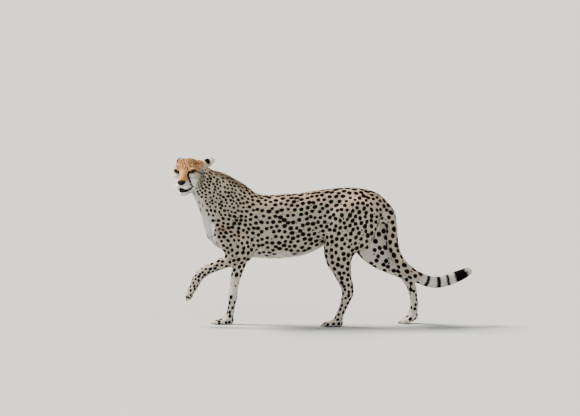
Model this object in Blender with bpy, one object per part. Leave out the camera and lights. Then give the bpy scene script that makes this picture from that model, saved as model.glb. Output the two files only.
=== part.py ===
"""A life-size cheetah in mid-walk, its head turned to look out to its left.

The animal faces -X, its left side faces -Y and it stands on Z = 0. Tapered lofts and ellipsoid muscles
are joined by a voxel remesh into one body, which thin cuts then part into named pieces.
All lengths are in metres.
"""

import math

import bmesh
import bpy
import numpy as np
from mathutils import Matrix, Vector

# ---------------------------------------------------------------- driving dimensions

WITHERS_HEIGHT = 0.695
SHOULDER_HALF_GAP = 0.078  # from the midline to the middle of each shoulder blade
HIP_HALF_GAP = 0.062
FOOT_WIDTH = 0.072
TAIL_RADIUS = 0.034
EYE_RADIUS = 0.0165
HEAD_CENTRE = Vector((-0.582, -0.100, 0.806))
HEAD_YAW = math.radians(69)  # how far the face turns from straight ahead, towards the left
HEAD_PITCH = math.radians(6)  # nose down

VOXEL = 0.005
BROAD_TRIANGLES = 2900  # on all but the head and paws
BODY_TRIANGLES = 4750
CUT_GAP = 0.0005
FIT = 0.0003  # the gap around eyes and nose
FLOOR_SINK = 0.006  # the soles are modelled this far below the floor, then cut flat at it

LEFT, RIGHT = -1, 1  # the side's sign along Y


# ---------------------------------------------------------------- modelling helpers


def clear_scene():
    for old in list(bpy.data.objects):
        bpy.data.objects.remove(old)


def material(name, colour, roughness):
    made = bpy.data.materials.new(name)
    made.use_nodes = True
    shader = made.node_tree.nodes["Principled BSDF"]
    shader.inputs["Base Color"].default_value = (*colour, 1.0)
    shader.inputs["Roughness"].default_value = roughness
    shader.inputs["Metallic"].default_value = 0.0
    return made


def through(stations, per_span=6):
    """A Catmull-Rom curve through the stations, each a tuple of numbers, with per_span rows to a span."""
    rows = np.array(stations, float)
    padded = np.vstack([2 * rows[0] - rows[1], rows, 2 * rows[-1] - rows[-2]])
    curve = []
    for before, start, end, after in zip(padded, padded[1:], padded[2:], padded[3:]):
        for t in np.arange(per_span) / per_span:
            bend = (2 * before - 5 * start + 4 * end - after) * t * t
            turn = (3 * start - before - 3 * end + after) * t**3
            curve.append(0.5 * (2 * start + (end - before) * t + bend + turn))
    return np.array(curve + [rows[-1]])


def loft(shell, stations, keel=0.0, sides=28):
    """A tube of egg-shaped rings through stations of (x, y, z, half depth, half width).

    Depth lies in the plane of the path and the vertical, width runs across it, along Y. Depth points up
    on a path that runs towards +X, and to the rear on one that runs down. keel moves the widest part of
    each ring that way.
    """
    rows = through(stations)
    centres, depths, widths = rows[:, :3], rows[:, 3], rows[:, 4]
    tangents = np.gradient(centres, axis=0)
    angles = 2 * math.pi * np.arange(sides) / sides
    rings = []
    for centre, tangent, depth, width in zip(centres, tangents, depths, widths):
        along = Vector(tangent).normalized()
        across = (Vector((0, 1, 0)) - along * along.y).normalized()
        up = along.cross(across)
        ring = []
        for angle in angles:
            share = math.sin(angle) * (1 + keel * math.cos(angle))
            point = Vector(centre) + up * (depth * math.cos(angle)) + across * (width * share)
            ring.append(shell.verts.new(point))
        rings.append(ring)
    for ring, following in zip(rings, rings[1:]):
        for k in range(sides):
            corner = (k + 1) % sides
            shell.faces.new((ring[k], ring[corner], following[corner], following[k]))
    for ring, outward in ((rings[0], -1), (rings[-1], 1)):
        middle = sum((v.co for v in ring), Vector()) / sides
        reach = min(depths[0 if outward < 0 else -1], widths[0 if outward < 0 else -1])
        away = Vector(tangents[0 if outward < 0 else -1]).normalized() * (outward * reach * 0.6)
        tip = shell.verts.new(middle + away)
        for k in range(sides):
            shell.faces.new((ring[k], ring[(k + 1) % sides], tip))


def ellipsoid(shell, centre, radii, turn=Matrix.Identity(3), sides=20, rings=12):
    """An ellipsoid with its radii along the columns of turn, as rings round its third axis."""
    def place(around, down):
        unit = Vector((math.cos(around) * math.sin(down), math.sin(around) * math.sin(down), math.cos(down)))
        return Vector(centre) + turn @ Vector([u * r for u, r in zip(unit, radii)])

    loops = []
    for i in range(1, rings):
        loop = [place(2 * math.pi * k / sides, math.pi * i / rings) for k in range(sides)]
        loops.append([shell.verts.new(point) for point in loop])
    top, bottom = shell.verts.new(place(0, 0)), shell.verts.new(place(0, math.pi))
    for k in range(sides):
        following = (k + 1) % sides
        shell.faces.new((top, loops[0][k], loops[0][following]))
        shell.faces.new((bottom, loops[-1][following], loops[-1][k]))
        for upper, lower in zip(loops, loops[1:]):
            shell.faces.new((upper[k], lower[k], lower[following], upper[following]))


def muscle(shell, start, end, depth, width):
    """An ellipsoid from start to end, with half depth in the body's side plane and half width across."""
    start, end = Vector(start), Vector(end)
    along = (end - start).normalized()
    across = (Vector((0, 1, 0)) - along * along.y).normalized()
    turn = Matrix((along, across, along.cross(across))).transposed()
    ellipsoid(shell, (start + end) / 2, ((end - start).length / 2, width, depth), turn)


def object_of(name, shell):
    """The bmesh as an object, facing out. It frees the bmesh."""
    bmesh.ops.recalc_face_normals(shell, faces=shell.faces)
    mesh = bpy.data.meshes.new(name)
    shell.to_mesh(mesh)
    shell.free()
    made = bpy.data.objects.new(name, mesh)
    bpy.context.scene.collection.objects.link(made)
    return made


def evaluated(source, name):
    """A new object with source's modifiers applied. It removes source."""
    graph = bpy.context.evaluated_depsgraph_get()
    mesh = bpy.data.meshes.new_from_object(source.evaluated_get(graph))
    mesh.name = name
    bpy.data.objects.remove(source)
    made = bpy.data.objects.new(name, mesh)
    bpy.context.scene.collection.objects.link(made)
    return made


# ---------------------------------------------------------------- trunk, neck and tail


def add_trunk(shell):
    """Deep narrow chest, tucked waist and sloping rump: (x, y, z middle, half height, half width)."""
    def slice_at(x, top, bottom, width):
        return (x, 0, (top + bottom) / 2, (top - bottom) / 2, width)

    loft(
        shell,
        [
            slice_at(-0.488, 0.572, 0.444, 0.050),
            slice_at(-0.448, 0.625, 0.404, 0.078),
            slice_at(-0.370, 0.670, 0.384, 0.091),
            slice_at(-0.280, WITHERS_HEIGHT, 0.358, 0.096),
            slice_at(-0.190, 0.689, 0.347, 0.101),
            slice_at(-0.100, 0.691, 0.347, 0.103),
            slice_at(0.000, 0.701, 0.364, 0.096),
            slice_at(0.100, 0.715, 0.424, 0.082),
            slice_at(0.190, 0.726, 0.466, 0.076),
            slice_at(0.270, 0.729, 0.490, 0.080),
            slice_at(0.350, 0.718, 0.500, 0.078),
            slice_at(0.410, 0.702, 0.520, 0.066),
            slice_at(0.450, 0.678, 0.556, 0.046),
        ],
        keel=0.05,
    )
    ellipsoid(shell, (-0.416, 0, 0.506), (0.068, 0.092, 0.090))


def add_neck(shell):
    """The neck rises forward from the chest and bends to the left under the turned head."""
    loft(
        shell,
        [
            (-0.333, 0.000, 0.563, 0.160, 0.086),
            (-0.373, 0.000, 0.610, 0.164, 0.083),
            (-0.411, -0.004, 0.660, 0.143, 0.073),
            (-0.455, -0.014, 0.708, 0.119, 0.065),
            (-0.503, -0.030, 0.752, 0.093, 0.060),
            (-0.540, -0.050, 0.786, 0.074, 0.052),
        ],
        keel=0.08,
    )


TAIL_PATH = [
    (0.382, 0.000, 0.652),
    (0.434, 0.000, 0.628),
    (0.469, -0.004, 0.578),
    (0.480, -0.012, 0.500),
    (0.487, -0.022, 0.430),
    (0.502, -0.032, 0.372),
    (0.532, -0.040, 0.322),
    (0.576, -0.044, 0.282),
    (0.630, -0.042, 0.250),
    (0.690, -0.034, 0.230),
    (0.745, -0.022, 0.230),
    (0.800, -0.008, 0.246),
    (0.852, 0.005, 0.267),
    (0.890, 0.014, 0.286),
]


def add_tail(shell):
    """The tail hangs behind the thighs, then sweeps back and up to a blunt brush."""
    thickness = [1.05, 1.08, 1.02, 0.96, 0.96, 0.95, 0.95, 0.95, 0.95, 0.95, 0.92, 0.92, 0.90, 0.74]
    loft(shell, [(*p, TAIL_RADIUS * t, TAIL_RADIUS * t) for p, t in zip(TAIL_PATH, thickness)])


# ---------------------------------------------------------------- paws and legs


def add_paw(shell, ball, heading, drop, width=FOOT_WIDTH, length=0.076):
    """Pad and four toes. heading is the way the toes point, in degrees from -X towards -Y, and drop their
    slope below the level, in degrees."""
    turn = Matrix.Rotation(math.radians(heading), 3, "Z") @ Matrix.Rotation(math.radians(-drop), 3, "Y")
    turn = turn @ Matrix.Rotation(math.pi, 3, "Z")  # the paw's own +X is its toes' way
    ball = Vector(ball)
    ellipsoid(shell, ball, (0.60 * length, 0.47 * width, 0.023), turn)
    for place, reach in ((-0.375, 0.50), (-0.135, 0.68), (0.135, 0.68), (0.375, 0.50)):
        middle = turn @ Vector((reach * length, place * width, -0.004))
        ellipsoid(shell, ball + middle, (0.33 * length, 0.155 * width, 0.0180), turn)


def add_raised_foreleg(shell):
    """The left foreleg swings forward: elbow back, forearm low and level, wrist bent and paw hanging."""
    y = LEFT * SHOULDER_HALF_GAP
    muscle(shell, (-0.235, y * 0.55, 0.662), (-0.456, y - 0.004, 0.488), 0.070, 0.026)
    muscle(shell, (-0.185, y + 0.010, 0.600), (-0.300, y - 0.010, 0.365), 0.068, 0.026)
    loft(
        shell,
        [
            (-0.430, y, 0.505, 0.050, 0.036),
            (-0.370, y - 0.006, 0.450, 0.066, 0.040),
            (-0.310, y - 0.010, 0.405, 0.058, 0.038),
            (-0.272, y - 0.012, 0.376, 0.034, 0.030),
        ],
    )
    loft(
        shell,
        [
            (-0.258, y - 0.012, 0.382, 0.026, 0.024),
            (-0.290, y - 0.012, 0.374, 0.042, 0.032),
            (-0.345, y - 0.010, 0.356, 0.041, 0.033),
            (-0.400, y - 0.006, 0.336, 0.033, 0.029),
            (-0.455, y - 0.002, 0.312, 0.029, 0.026),
            (-0.503, y + 0.002, 0.287, 0.029, 0.028),
            (-0.535, y + 0.004, 0.256, 0.027, 0.028),
            (-0.553, y + 0.005, 0.218, 0.025, 0.029),
        ],
    )
    add_paw(shell, (-0.560, y + 0.005, 0.205), heading=4, drop=58)


def add_standing_foreleg(shell):
    """The right foreleg carries the chest: a straight column from the elbow to a small round paw."""
    y = RIGHT * SHOULDER_HALF_GAP
    muscle(shell, (-0.240, y * 0.55, 0.666), (-0.448, y + 0.004, 0.488), 0.070, 0.026)
    muscle(shell, (-0.190, y - 0.010, 0.600), (-0.320, y + 0.006, 0.370), 0.068, 0.026)
    loft(
        shell,
        [
            (-0.430, y, 0.500, 0.050, 0.036),
            (-0.370, y + 0.004, 0.450, 0.062, 0.040),
            (-0.320, y + 0.004, 0.410, 0.052, 0.036),
            (-0.295, y + 0.002, 0.388, 0.034, 0.028),
        ],
    )
    loft(
        shell,
        [
            (-0.290, y + 0.004, 0.410, 0.032, 0.026),
            (-0.304, y + 0.000, 0.370, 0.041, 0.032),
            (-0.322, y - 0.008, 0.310, 0.037, 0.031),
            (-0.338, y - 0.018, 0.250, 0.029, 0.026),
            (-0.348, y - 0.026, 0.195, 0.024, 0.023),
            (-0.353, y - 0.032, 0.150, 0.026, 0.026),
            (-0.359, y - 0.034, 0.105, 0.022, 0.024),
            (-0.368, y - 0.035, 0.060, 0.022, 0.026),
            (-0.378, y - 0.035, 0.030, 0.022, 0.028),
        ],
    )
    add_paw(shell, (-0.388, y - 0.035, 0.022 - FLOOR_SINK), heading=6, drop=4)


def add_standing_hindleg(shell):
    """The left hind leg stands under the flank: broad thigh, stifle forward and a steep cannon."""
    y = LEFT * HIP_HALF_GAP
    loft(
        shell,
        [
            (0.308, y, 0.664, 0.072, 0.030),
            (0.302, y - 0.006, 0.610, 0.122, 0.044),
            (0.276, y - 0.012, 0.545, 0.124, 0.048),
            (0.244, y - 0.018, 0.475, 0.112, 0.046),
            (0.210, y - 0.022, 0.415, 0.093, 0.040),
            (0.204, y - 0.024, 0.355, 0.075, 0.034),
            (0.218, y - 0.024, 0.300, 0.055, 0.029),
            (0.232, y - 0.023, 0.250, 0.041, 0.024),
            (0.244, y - 0.022, 0.210, 0.034, 0.022),
            (0.250, y - 0.021, 0.178, 0.033, 0.023),
            (0.240, y - 0.020, 0.140, 0.028, 0.022),
            (0.224, y - 0.019, 0.098, 0.023, 0.022),
            (0.208, y - 0.018, 0.058, 0.022, 0.025),
            (0.196, y - 0.018, 0.030, 0.022, 0.027),
        ],
    )
    muscle(shell, (0.140, y - 0.020, 0.436), (0.300, y - 0.008, 0.640), 0.060, 0.044)
    muscle(shell, (0.395, y - 0.012, 0.640), (0.300, y - 0.024, 0.390), 0.058, 0.036)
    muscle(shell, (0.262, y - 0.022, 0.270), (0.280, y - 0.021, 0.155), 0.013, 0.013)
    add_paw(shell, (0.186, y - 0.018, 0.022 - FLOOR_SINK), heading=4, drop=4)


def add_trailing_hindleg(shell):
    """The right hind leg pushes off behind: thigh upright, shank sloping back and heel raised."""
    y = RIGHT * HIP_HALF_GAP
    loft(
        shell,
        [
            (0.322, y, 0.664, 0.070, 0.030),
            (0.345, y + 0.006, 0.610, 0.112, 0.044),
            (0.356, y + 0.012, 0.545, 0.116, 0.047),
            (0.364, y + 0.018, 0.480, 0.108, 0.045),
            (0.384, y + 0.022, 0.418, 0.100, 0.040),
            (0.424, y + 0.024, 0.362, 0.081, 0.035),
            (0.470, y + 0.024, 0.320, 0.060, 0.029),
            (0.514, y + 0.023, 0.287, 0.044, 0.024),
            (0.548, y + 0.022, 0.262, 0.035, 0.022),
            (0.574, y + 0.021, 0.228, 0.032, 0.023),
            (0.590, y + 0.020, 0.186, 0.026, 0.022),
            (0.600, y + 0.019, 0.138, 0.023, 0.022),
            (0.602, y + 0.018, 0.092, 0.023, 0.024),
            (0.596, y + 0.018, 0.056, 0.023, 0.027),
        ],
    )
    muscle(shell, (0.268, y + 0.014, 0.410), (0.330, y + 0.006, 0.640), 0.046, 0.044)
    muscle(shell, (0.410, y + 0.010, 0.640), (0.440, y + 0.022, 0.370), 0.056, 0.034)
    muscle(shell, (0.540, y + 0.023, 0.330), (0.604, y + 0.021, 0.222), 0.014, 0.013)
    add_paw(shell, (0.584, y + 0.018, 0.036 - FLOOR_SINK), heading=2, drop=24)


# ---------------------------------------------------------------- head

HEAD_TURN = (
    Matrix.Rotation(HEAD_YAW, 3, "Z") @ Matrix.Rotation(math.pi, 3, "Z") @ Matrix.Rotation(HEAD_PITCH, 3, "Y")
)


def on_head(forward, left, up):
    """A place on the head, from its middle, in the head's own directions."""
    return HEAD_CENTRE + HEAD_TURN @ Vector((forward, left, up))


def head_ellipsoid(shell, forward, left, up, radii, tilt=0.0, splay=0.0):
    """An ellipsoid on the head. tilt raises its front end and splay turns that end outwards, in degrees."""
    turn = Matrix.Rotation(math.radians(splay), 3, "Z") @ Matrix.Rotation(-math.radians(tilt), 3, "Y")
    ellipsoid(shell, on_head(forward, left, up), radii, HEAD_TURN @ turn)


def add_head(shell):
    """Small round cranium, short blunt muzzle, full cheeks and a jaw that hangs a little open."""
    head_ellipsoid(shell, -0.014, 0, 0.017, (0.080, 0.063, 0.063))
    head_ellipsoid(shell, 0.024, 0, 0.014, (0.052, 0.062, 0.056))
    head_ellipsoid(shell, 0.070, 0, 0.000, (0.056, 0.025, 0.025), tilt=-38)
    head_ellipsoid(shell, 0.076, 0, -0.040, (0.042, 0.036, 0.028))
    head_ellipsoid(shell, 0.038, 0, -0.046, (0.062, 0.050, 0.032))
    head_ellipsoid(shell, 0.034, 0, -0.080, (0.064, 0.039, 0.020), tilt=-10)
    head_ellipsoid(shell, 0.074, 0, -0.090, (0.030, 0.029, 0.018))
    for side in (-1, 1):
        head_ellipsoid(shell, 0.089, side * 0.019, -0.050, (0.030, 0.023, 0.021), splay=-side * 8)
        head_ellipsoid(shell, 0.004, side * 0.047, -0.018, (0.058, 0.030, 0.048), splay=-side * 14)
        head_ellipsoid(shell, 0.000, side * 0.044, -0.048, (0.050, 0.028, 0.036), splay=-side * 14)
        head_ellipsoid(shell, 0.026, side * 0.051, -0.002, (0.038, 0.023, 0.026), splay=-side * 24)
        head_ellipsoid(shell, 0.018, side * 0.050, 0.016, (0.036, 0.022, 0.030), splay=-side * 20)
        head_ellipsoid(shell, 0.040, side * 0.041, 0.037, (0.027, 0.023, 0.016), splay=-side * 20)
        head_ellipsoid(shell, -0.030, side * 0.048, 0.036, (0.036, 0.033, 0.034))


EYE_PLACE = (0.050, 0.043, 0.022)  # forward, outward, up
NOSE_PLACE = (0.108, 0.0, -0.030)
NOSE_RADII = (0.013, 0.019, 0.013)


def add_eye(shell, side, radius):
    """An eyeball, with the pole of its facets turned forward on the head."""
    turn = HEAD_TURN @ Matrix.Rotation(math.pi / 2, 3, "Y")
    ellipsoid(shell, eye_centre(side), (radius,) * 3, turn, sides=16, rings=10)


def eye_centre(side):
    forward, outward, up = EYE_PLACE
    return on_head(forward, side * outward, up)


EAR_ROWS = 7
EAR_LENGTH = 0.087
EAR_HALF_WIDTH = 0.029
EAR_THICKNESS = 0.006
EAR_SUNK = 0.010
HEADS_LEFT, HEADS_RIGHT = 1, -1  # in the head's own frame the left is positive


def ear_frame(side):
    """Base, way to the tip, way the bowl faces and way across. Both ears lie out and back, bowls down."""
    base = on_head(-0.036, 0.058, 0.038) if side == HEADS_LEFT else on_head(-0.042, -0.041, 0.053)
    rise = 0.037 if side == HEADS_LEFT else 0.002
    along = (HEAD_TURN @ Vector((-0.047, side * 0.067, rise))).normalized()
    face = HEAD_TURN @ Vector((-0.60, 0, -0.75))
    face = (face - along * face.dot(along)).normalized()
    return base, along, face, face.cross(along)


def add_ear(shell, side):
    """A broad cupped leaf, half as wide as a superellipse of the way to its tip, with edges curled forward."""
    base, along, face, across = ear_frame(side)
    sheets = []
    for offset in (0.0, -EAR_THICKNESS):
        sheet = []
        for i in range(EAR_ROWS + 1):
            s = 0.985 * i / EAR_ROWS
            width = EAR_HALF_WIDTH * math.sqrt(1 - s**5) * (0.84 + 0.16 * math.sin(math.pi * s))
            line = []
            for j in range(EAR_ROWS + 1):
                t = 2 * j / EAR_ROWS - 1
                curl = 0.014 * t * t * (1 - 0.6 * s) + 0.006 * s * s
                rim = 1 - 0.6 * max(abs(t), s) ** 6
                back = offset * rim - 0.010 * math.sin(math.pi * min(s * 1.1, 1)) * (1 - t * t)
                place = base + along * (EAR_LENGTH * s - EAR_SUNK) + across * (width * t)
                line.append(place + face * (curl + back))
            sheet.append([shell.verts.new(p) for p in line])
        sheets.append(sheet)
    front, rear = sheets
    last = EAR_ROWS
    for i in range(last):
        for j in range(last):
            shell.faces.new((front[i][j], front[i][j + 1], front[i + 1][j + 1], front[i + 1][j]))
            shell.faces.new((rear[i][j], rear[i + 1][j], rear[i + 1][j + 1], rear[i][j + 1]))
        shell.faces.new((front[i][0], front[i + 1][0], rear[i + 1][0], rear[i][0]))
        shell.faces.new((front[i][last], rear[i][last], rear[i + 1][last], front[i + 1][last]))
        shell.faces.new((front[0][i], rear[0][i], rear[0][i + 1], front[0][i + 1]))
        shell.faces.new((front[last][i], front[last][i + 1], rear[last][i + 1], rear[last][i]))


# ---------------------------------------------------------------- one body


def broad(place):
    """How much a point of the flesh is softened: fully on the trunk and neck, little on legs, tail and head."""
    above_legs = (place.z - 0.36) / 0.12
    behind_head = (place.x + 0.52) / 0.08
    before_tail = (0.49 - place.x) / 0.06
    return min(max(min(above_legs, behind_head, before_tail), 0.0), 1.0)


def detailed(place):
    """1 on the head and paws, which keep small triangles, and 0 elsewhere."""
    paws_top = 0.25 if place.x < -0.48 else 0.05
    return float((place - HEAD_CENTRE).length < 0.138 or place.z < paws_top)


def make_body():
    """All the flesh but the ears as one smooth closed mesh."""
    shell = bmesh.new()
    add_trunk(shell)
    add_neck(shell)
    add_tail(shell)
    add_raised_foreleg(shell)
    add_standing_foreleg(shell)
    add_standing_hindleg(shell)
    add_trailing_hindleg(shell)
    add_head(shell)
    rough = object_of("rough", shell)
    fused = rough.modifiers.new("Fuse", "REMESH")
    fused.mode = "VOXEL"
    fused.voxel_size = VOXEL
    body = evaluated(rough, "body")
    large = body.vertex_groups.new(name="large forms")
    fine = body.vertex_groups.new(name="fine forms")
    for vertex in body.data.vertices:
        large.add([vertex.index], broad(vertex.co), "REPLACE")
        fine.add([vertex.index], detailed(vertex.co), "REPLACE")
    for name, rounds, group in (("Soften", 5, ""), ("Blend", 40, large.name)):
        soft = body.modifiers.new(name, "SMOOTH")
        soft.factor = 0.5
        soft.iterations = rounds
        soft.vertex_group = group
    total = 2 * len(body.data.polygons)
    kept = 2 * sum(detailed(face.center) > 0.5 for face in body.data.polygons)
    after_first = kept + BROAD_TRIANGLES
    for ratio, fine_kept in ((after_first / total, True), (BODY_TRIANGLES / after_first, False)):
        fewer = body.modifiers.new("Fewer", "DECIMATE")
        fewer.ratio = ratio
        fewer.vertex_group = fine.name
        fewer.invert_vertex_group = fine_kept
    return evaluated(body, "body")


# ---------------------------------------------------------------- the body's cuts

# Each cut is a plate: middle, the way it faces, length and width.
CUTS = [
    ((-0.400, 0.000, 0.610), (-0.740, 0.000, 0.673), 0.42, 0.30),  # base of the neck
    ((-0.538, -0.057, 0.769), (-0.550, -0.650, 0.520), 0.25, 0.25),  # behind the skull
    ((0.446, 0.000, 0.545), (1.000, 0.000, -0.250), 0.12, 0.12),  # between the thighs and the tail's root
    ((0.502, -0.032, 0.372), (0.420, -0.100, -0.900), 0.10, 0.10),  # upper third of the tail
    ((0.730, -0.025, 0.230), (0.990, 0.200, 0.040), 0.10, 0.10),  # lower third of the tail
    ((-0.552, LEFT * 0.073, 0.224), (-0.420, 0.000, -0.900), 0.10, 0.10),  # raised wrist
    ((-0.368, RIGHT * 0.043, 0.062), (-0.200, 0.000, -0.980), 0.10, 0.10),  # standing wrist
    ((0.213, LEFT * 0.085, 0.320), (0.170, 0.000, -0.980), 0.22, 0.12),  # standing knee
    ((0.248, LEFT * 0.083, 0.190), (0.100, 0.000, -0.990), 0.12, 0.10),  # standing hock
    ((0.446, RIGHT * 0.086, 0.343), (0.740, 0.000, -0.670), 0.20, 0.12),  # trailing knee
    ((0.578, RIGHT * 0.083, 0.218), (0.350, 0.000, -0.940), 0.12, 0.10),  # trailing hock
]


def tilted_cut(side, start, end, height, rise, fall):
    """The plate that takes a leg off the side of the trunk.

    It runs from start to end along X. On the midline it lies at height at X = 0, rises by rise for each
    metre to the rear and by fall for each metre outwards.
    """
    middle = Vector(((start + end) / 2, side * 0.085, 0))
    middle.z = height + rise * middle.x + fall * 0.085
    return middle, Vector((-rise, -side * fall, 1)), (end - start) * math.sqrt(1 + rise**2), 0.25


LEG_CUTS = [
    tilted_cut(LEFT, -0.500, -0.212, 0.330, 0.0, 0.68),
    tilted_cut(RIGHT, -0.440, -0.225, 0.330, 0.0, 0.68),
    tilted_cut(LEFT, 0.076, 0.530, 0.350, 0.40, 1.0),
    tilted_cut(RIGHT, 0.110, 0.530, 0.350, 0.40, 1.0),
]


def add_plate(cutters, middle, facing, length, width):
    """A plate CUT_GAP thick, square to facing, its length in the side plane of the body."""
    facing = Vector(facing).normalized()
    lengthways = Vector((0, 1, 0)).cross(facing).normalized()
    turn = Matrix((lengthways, facing.cross(lengthways), facing)).transposed().to_4x4()
    place = Matrix.Translation(middle) @ turn @ Matrix.Diagonal((length, width, CUT_GAP, 1))
    bmesh.ops.create_cube(cutters, size=1, matrix=place)


def make_cutters():
    """All that the body loses: gaps between pieces, sockets for eyes and nose, and what is below the floor."""
    cutters = bmesh.new()
    for cut in CUTS + LEG_CUTS:
        add_plate(cutters, *cut)
    floor = Matrix.Translation((0.1, 0, -0.05)) @ Matrix.Diagonal((2.4, 1, 0.1, 1))
    bmesh.ops.create_cube(cutters, size=1, matrix=floor)
    for side in (HEADS_LEFT, HEADS_RIGHT):
        add_eye(cutters, side, EYE_RADIUS + FIT)
    head_ellipsoid(cutters, *NOSE_PLACE, [r + FIT for r in NOSE_RADII])
    made = object_of("cutters", cutters)
    made.hide_render = True
    made.display_type = "WIRE"
    return made


def without(target, cutter, name):
    """A new object: target less cutter. It removes target."""
    cut = target.modifiers.new("Cut", "BOOLEAN")
    cut.operation = "DIFFERENCE"
    cut.solver = "EXACT"
    cut.use_self = True
    cut.object = cutter
    return evaluated(target, name)


PIECES = {  # a place near the middle of each piece
    "trunk": (-0.05, 0, 0.53),
    "neck": (-0.45, -0.01, 0.70),
    "head": tuple(HEAD_CENTRE),
    "tail_base": (0.485, -0.02, 0.45),
    "tail_middle": (0.62, -0.04, 0.28),
    "tail_tip": (0.82, 0, 0.25),
    "foreleg_left": (-0.40, -0.09, 0.33),
    "forepaw_left": (-0.565, -0.073, 0.19),
    "foreleg_right": (-0.33, 0.065, 0.22),
    "forepaw_right": (-0.38, 0.043, 0.03),
    "thigh_left": (0.25, -0.08, 0.47),
    "shank_left": (0.225, -0.085, 0.26),
    "hindfoot_left": (0.22, -0.08, 0.09),
    "thigh_right": (0.37, 0.08, 0.47),
    "shank_right": (0.50, 0.085, 0.29),
    "hindfoot_right": (0.59, 0.08, 0.12),
}


def loose_shells(mesh):
    """The faces of each connected shell of the mesh, as lists of faces."""
    seen, shells = set(), []
    for first in mesh.faces:
        if first in seen:
            continue
        seen.add(first)
        shell, front = [], [first]
        while front:
            face = front.pop()
            shell.append(face)
            for edge in face.edges:
                for other in edge.link_faces:
                    if other not in seen:
                        seen.add(other)
                        front.append(other)
        shells.append(shell)
    return shells


def part_body(body):
    """Make each shell of the cut body an object with its own name. It removes body."""
    whole = bmesh.new()
    whole.from_mesh(body.data)
    bpy.data.objects.remove(body)
    for shell in loose_shells(whole):
        corners = list(dict.fromkeys(v for face in shell for v in face.verts))
        middle = sum((v.co for v in corners), Vector()) / len(corners)
        name = min(PIECES, key=lambda piece: (Vector(PIECES[piece]) - middle).length)
        piece = bmesh.new()
        copies = {v: piece.verts.new(v.co) for v in corners}
        for face in shell:
            piece.faces.new([copies[v] for v in face.verts])
        object_of(name, piece)
    whole.free()


def swollen(source):
    """A copy of source, FIT larger all round."""
    grown = source.copy()
    grown.data = source.data.copy()
    bpy.context.scene.collection.objects.link(grown)
    swell = grown.modifiers.new("Swell", "DISPLACE")
    swell.strength = FIT
    swell.mid_level = 0.0
    grown = evaluated(grown, "swollen")
    grown.hide_render = True
    grown.display_type = "WIRE"
    return grown


def make_ear(side, name, head):
    """One ear, its root cut to the shape of the head it stands on."""
    shell = bmesh.new()
    add_ear(shell, side)
    without(object_of("whole ear", shell), head, name)


def make_eye(side, name):
    shell = bmesh.new()
    add_eye(shell, side, EYE_RADIUS)
    object_of(name, shell)


def make_nose():
    shell = bmesh.new()
    head_ellipsoid(shell, *NOSE_PLACE, NOSE_RADII)
    object_of("nose", shell)


# ---------------------------------------------------------------- the animal

clear_scene()
body = make_body()
body_and_fit = swollen(body)
make_ear(HEADS_LEFT, "ear_left", body_and_fit)
make_ear(HEADS_RIGHT, "ear_right", body_and_fit)
cutters = make_cutters()
part_body(without(body, cutters, "cut body"))
make_eye(HEADS_LEFT, "eye_left")
make_eye(HEADS_RIGHT, "eye_right")
make_nose()
bpy.data.objects.remove(body_and_fit)
bpy.data.objects.remove(cutters)

# ---------------------------------------------------------------- materials and the shared origin

FUR = material("tan fur", (0.60, 0.42, 0.24), 0.85)
PALE_FUR = material("pale fur", (0.80, 0.74, 0.64), 0.85)
DARK_FUR = material("dark fur", (0.10, 0.08, 0.06), 0.85)
EYE = material("amber eye", (0.22, 0.12, 0.03), 0.12)
NOSE_LEATHER = material("nose leather", (0.03, 0.025, 0.025), 0.45)
OTHER_MATERIALS = {
    "eye_left": EYE,
    "eye_right": EYE,
    "nose": NOSE_LEATHER,
    "ear_left": DARK_FUR,
    "ear_right": DARK_FUR,
    "tail_tip": PALE_FUR,
}

pieces = list(bpy.data.objects)
for piece in pieces:
    piece.data.materials.clear()
    piece.data.materials.append(OTHER_MATERIALS.get(piece.name, FUR))
    piece.data.shade_smooth()

corners = np.array([v.co for piece in pieces for v in piece.data.vertices])
low, high = corners.min(axis=0), corners.max(axis=0)
to_origin = Matrix.Translation((-(low[0] + high[0]) / 2, -(low[1] + high[1]) / 2, -low[2]))
for piece in pieces:
    piece.data.transform(to_origin)
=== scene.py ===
"""A life-size cheetah in mid-walk, dressed over its CAD solids in skin, coat, eyes, nose, claws and whiskers.

It faces -X, its left side faces -Y, and its head looks out to its left.
"""

import math

import bmesh
import bpy
import numpy as np
from mathutils import Matrix, Vector


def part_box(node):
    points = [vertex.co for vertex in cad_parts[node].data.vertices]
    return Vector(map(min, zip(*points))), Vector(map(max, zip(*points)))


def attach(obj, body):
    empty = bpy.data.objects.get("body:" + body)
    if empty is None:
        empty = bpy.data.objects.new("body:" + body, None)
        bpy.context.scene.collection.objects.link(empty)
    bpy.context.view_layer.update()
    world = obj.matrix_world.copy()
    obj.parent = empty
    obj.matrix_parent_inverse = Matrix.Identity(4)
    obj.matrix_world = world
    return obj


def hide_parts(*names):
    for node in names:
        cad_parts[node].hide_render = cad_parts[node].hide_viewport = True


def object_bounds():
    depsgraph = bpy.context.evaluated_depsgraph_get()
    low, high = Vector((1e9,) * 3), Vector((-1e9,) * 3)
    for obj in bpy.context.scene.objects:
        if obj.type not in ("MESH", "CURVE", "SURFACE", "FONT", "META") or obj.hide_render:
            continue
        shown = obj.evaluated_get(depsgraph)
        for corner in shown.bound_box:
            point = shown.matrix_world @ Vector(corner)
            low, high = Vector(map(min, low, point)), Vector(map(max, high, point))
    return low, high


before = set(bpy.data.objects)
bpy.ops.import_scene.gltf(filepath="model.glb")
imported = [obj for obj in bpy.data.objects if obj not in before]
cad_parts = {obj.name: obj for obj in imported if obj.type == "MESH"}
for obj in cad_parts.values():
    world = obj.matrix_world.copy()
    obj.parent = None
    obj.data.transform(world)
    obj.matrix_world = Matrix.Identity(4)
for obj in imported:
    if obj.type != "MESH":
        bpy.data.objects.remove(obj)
cad_box = [list(corner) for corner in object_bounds()]

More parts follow.
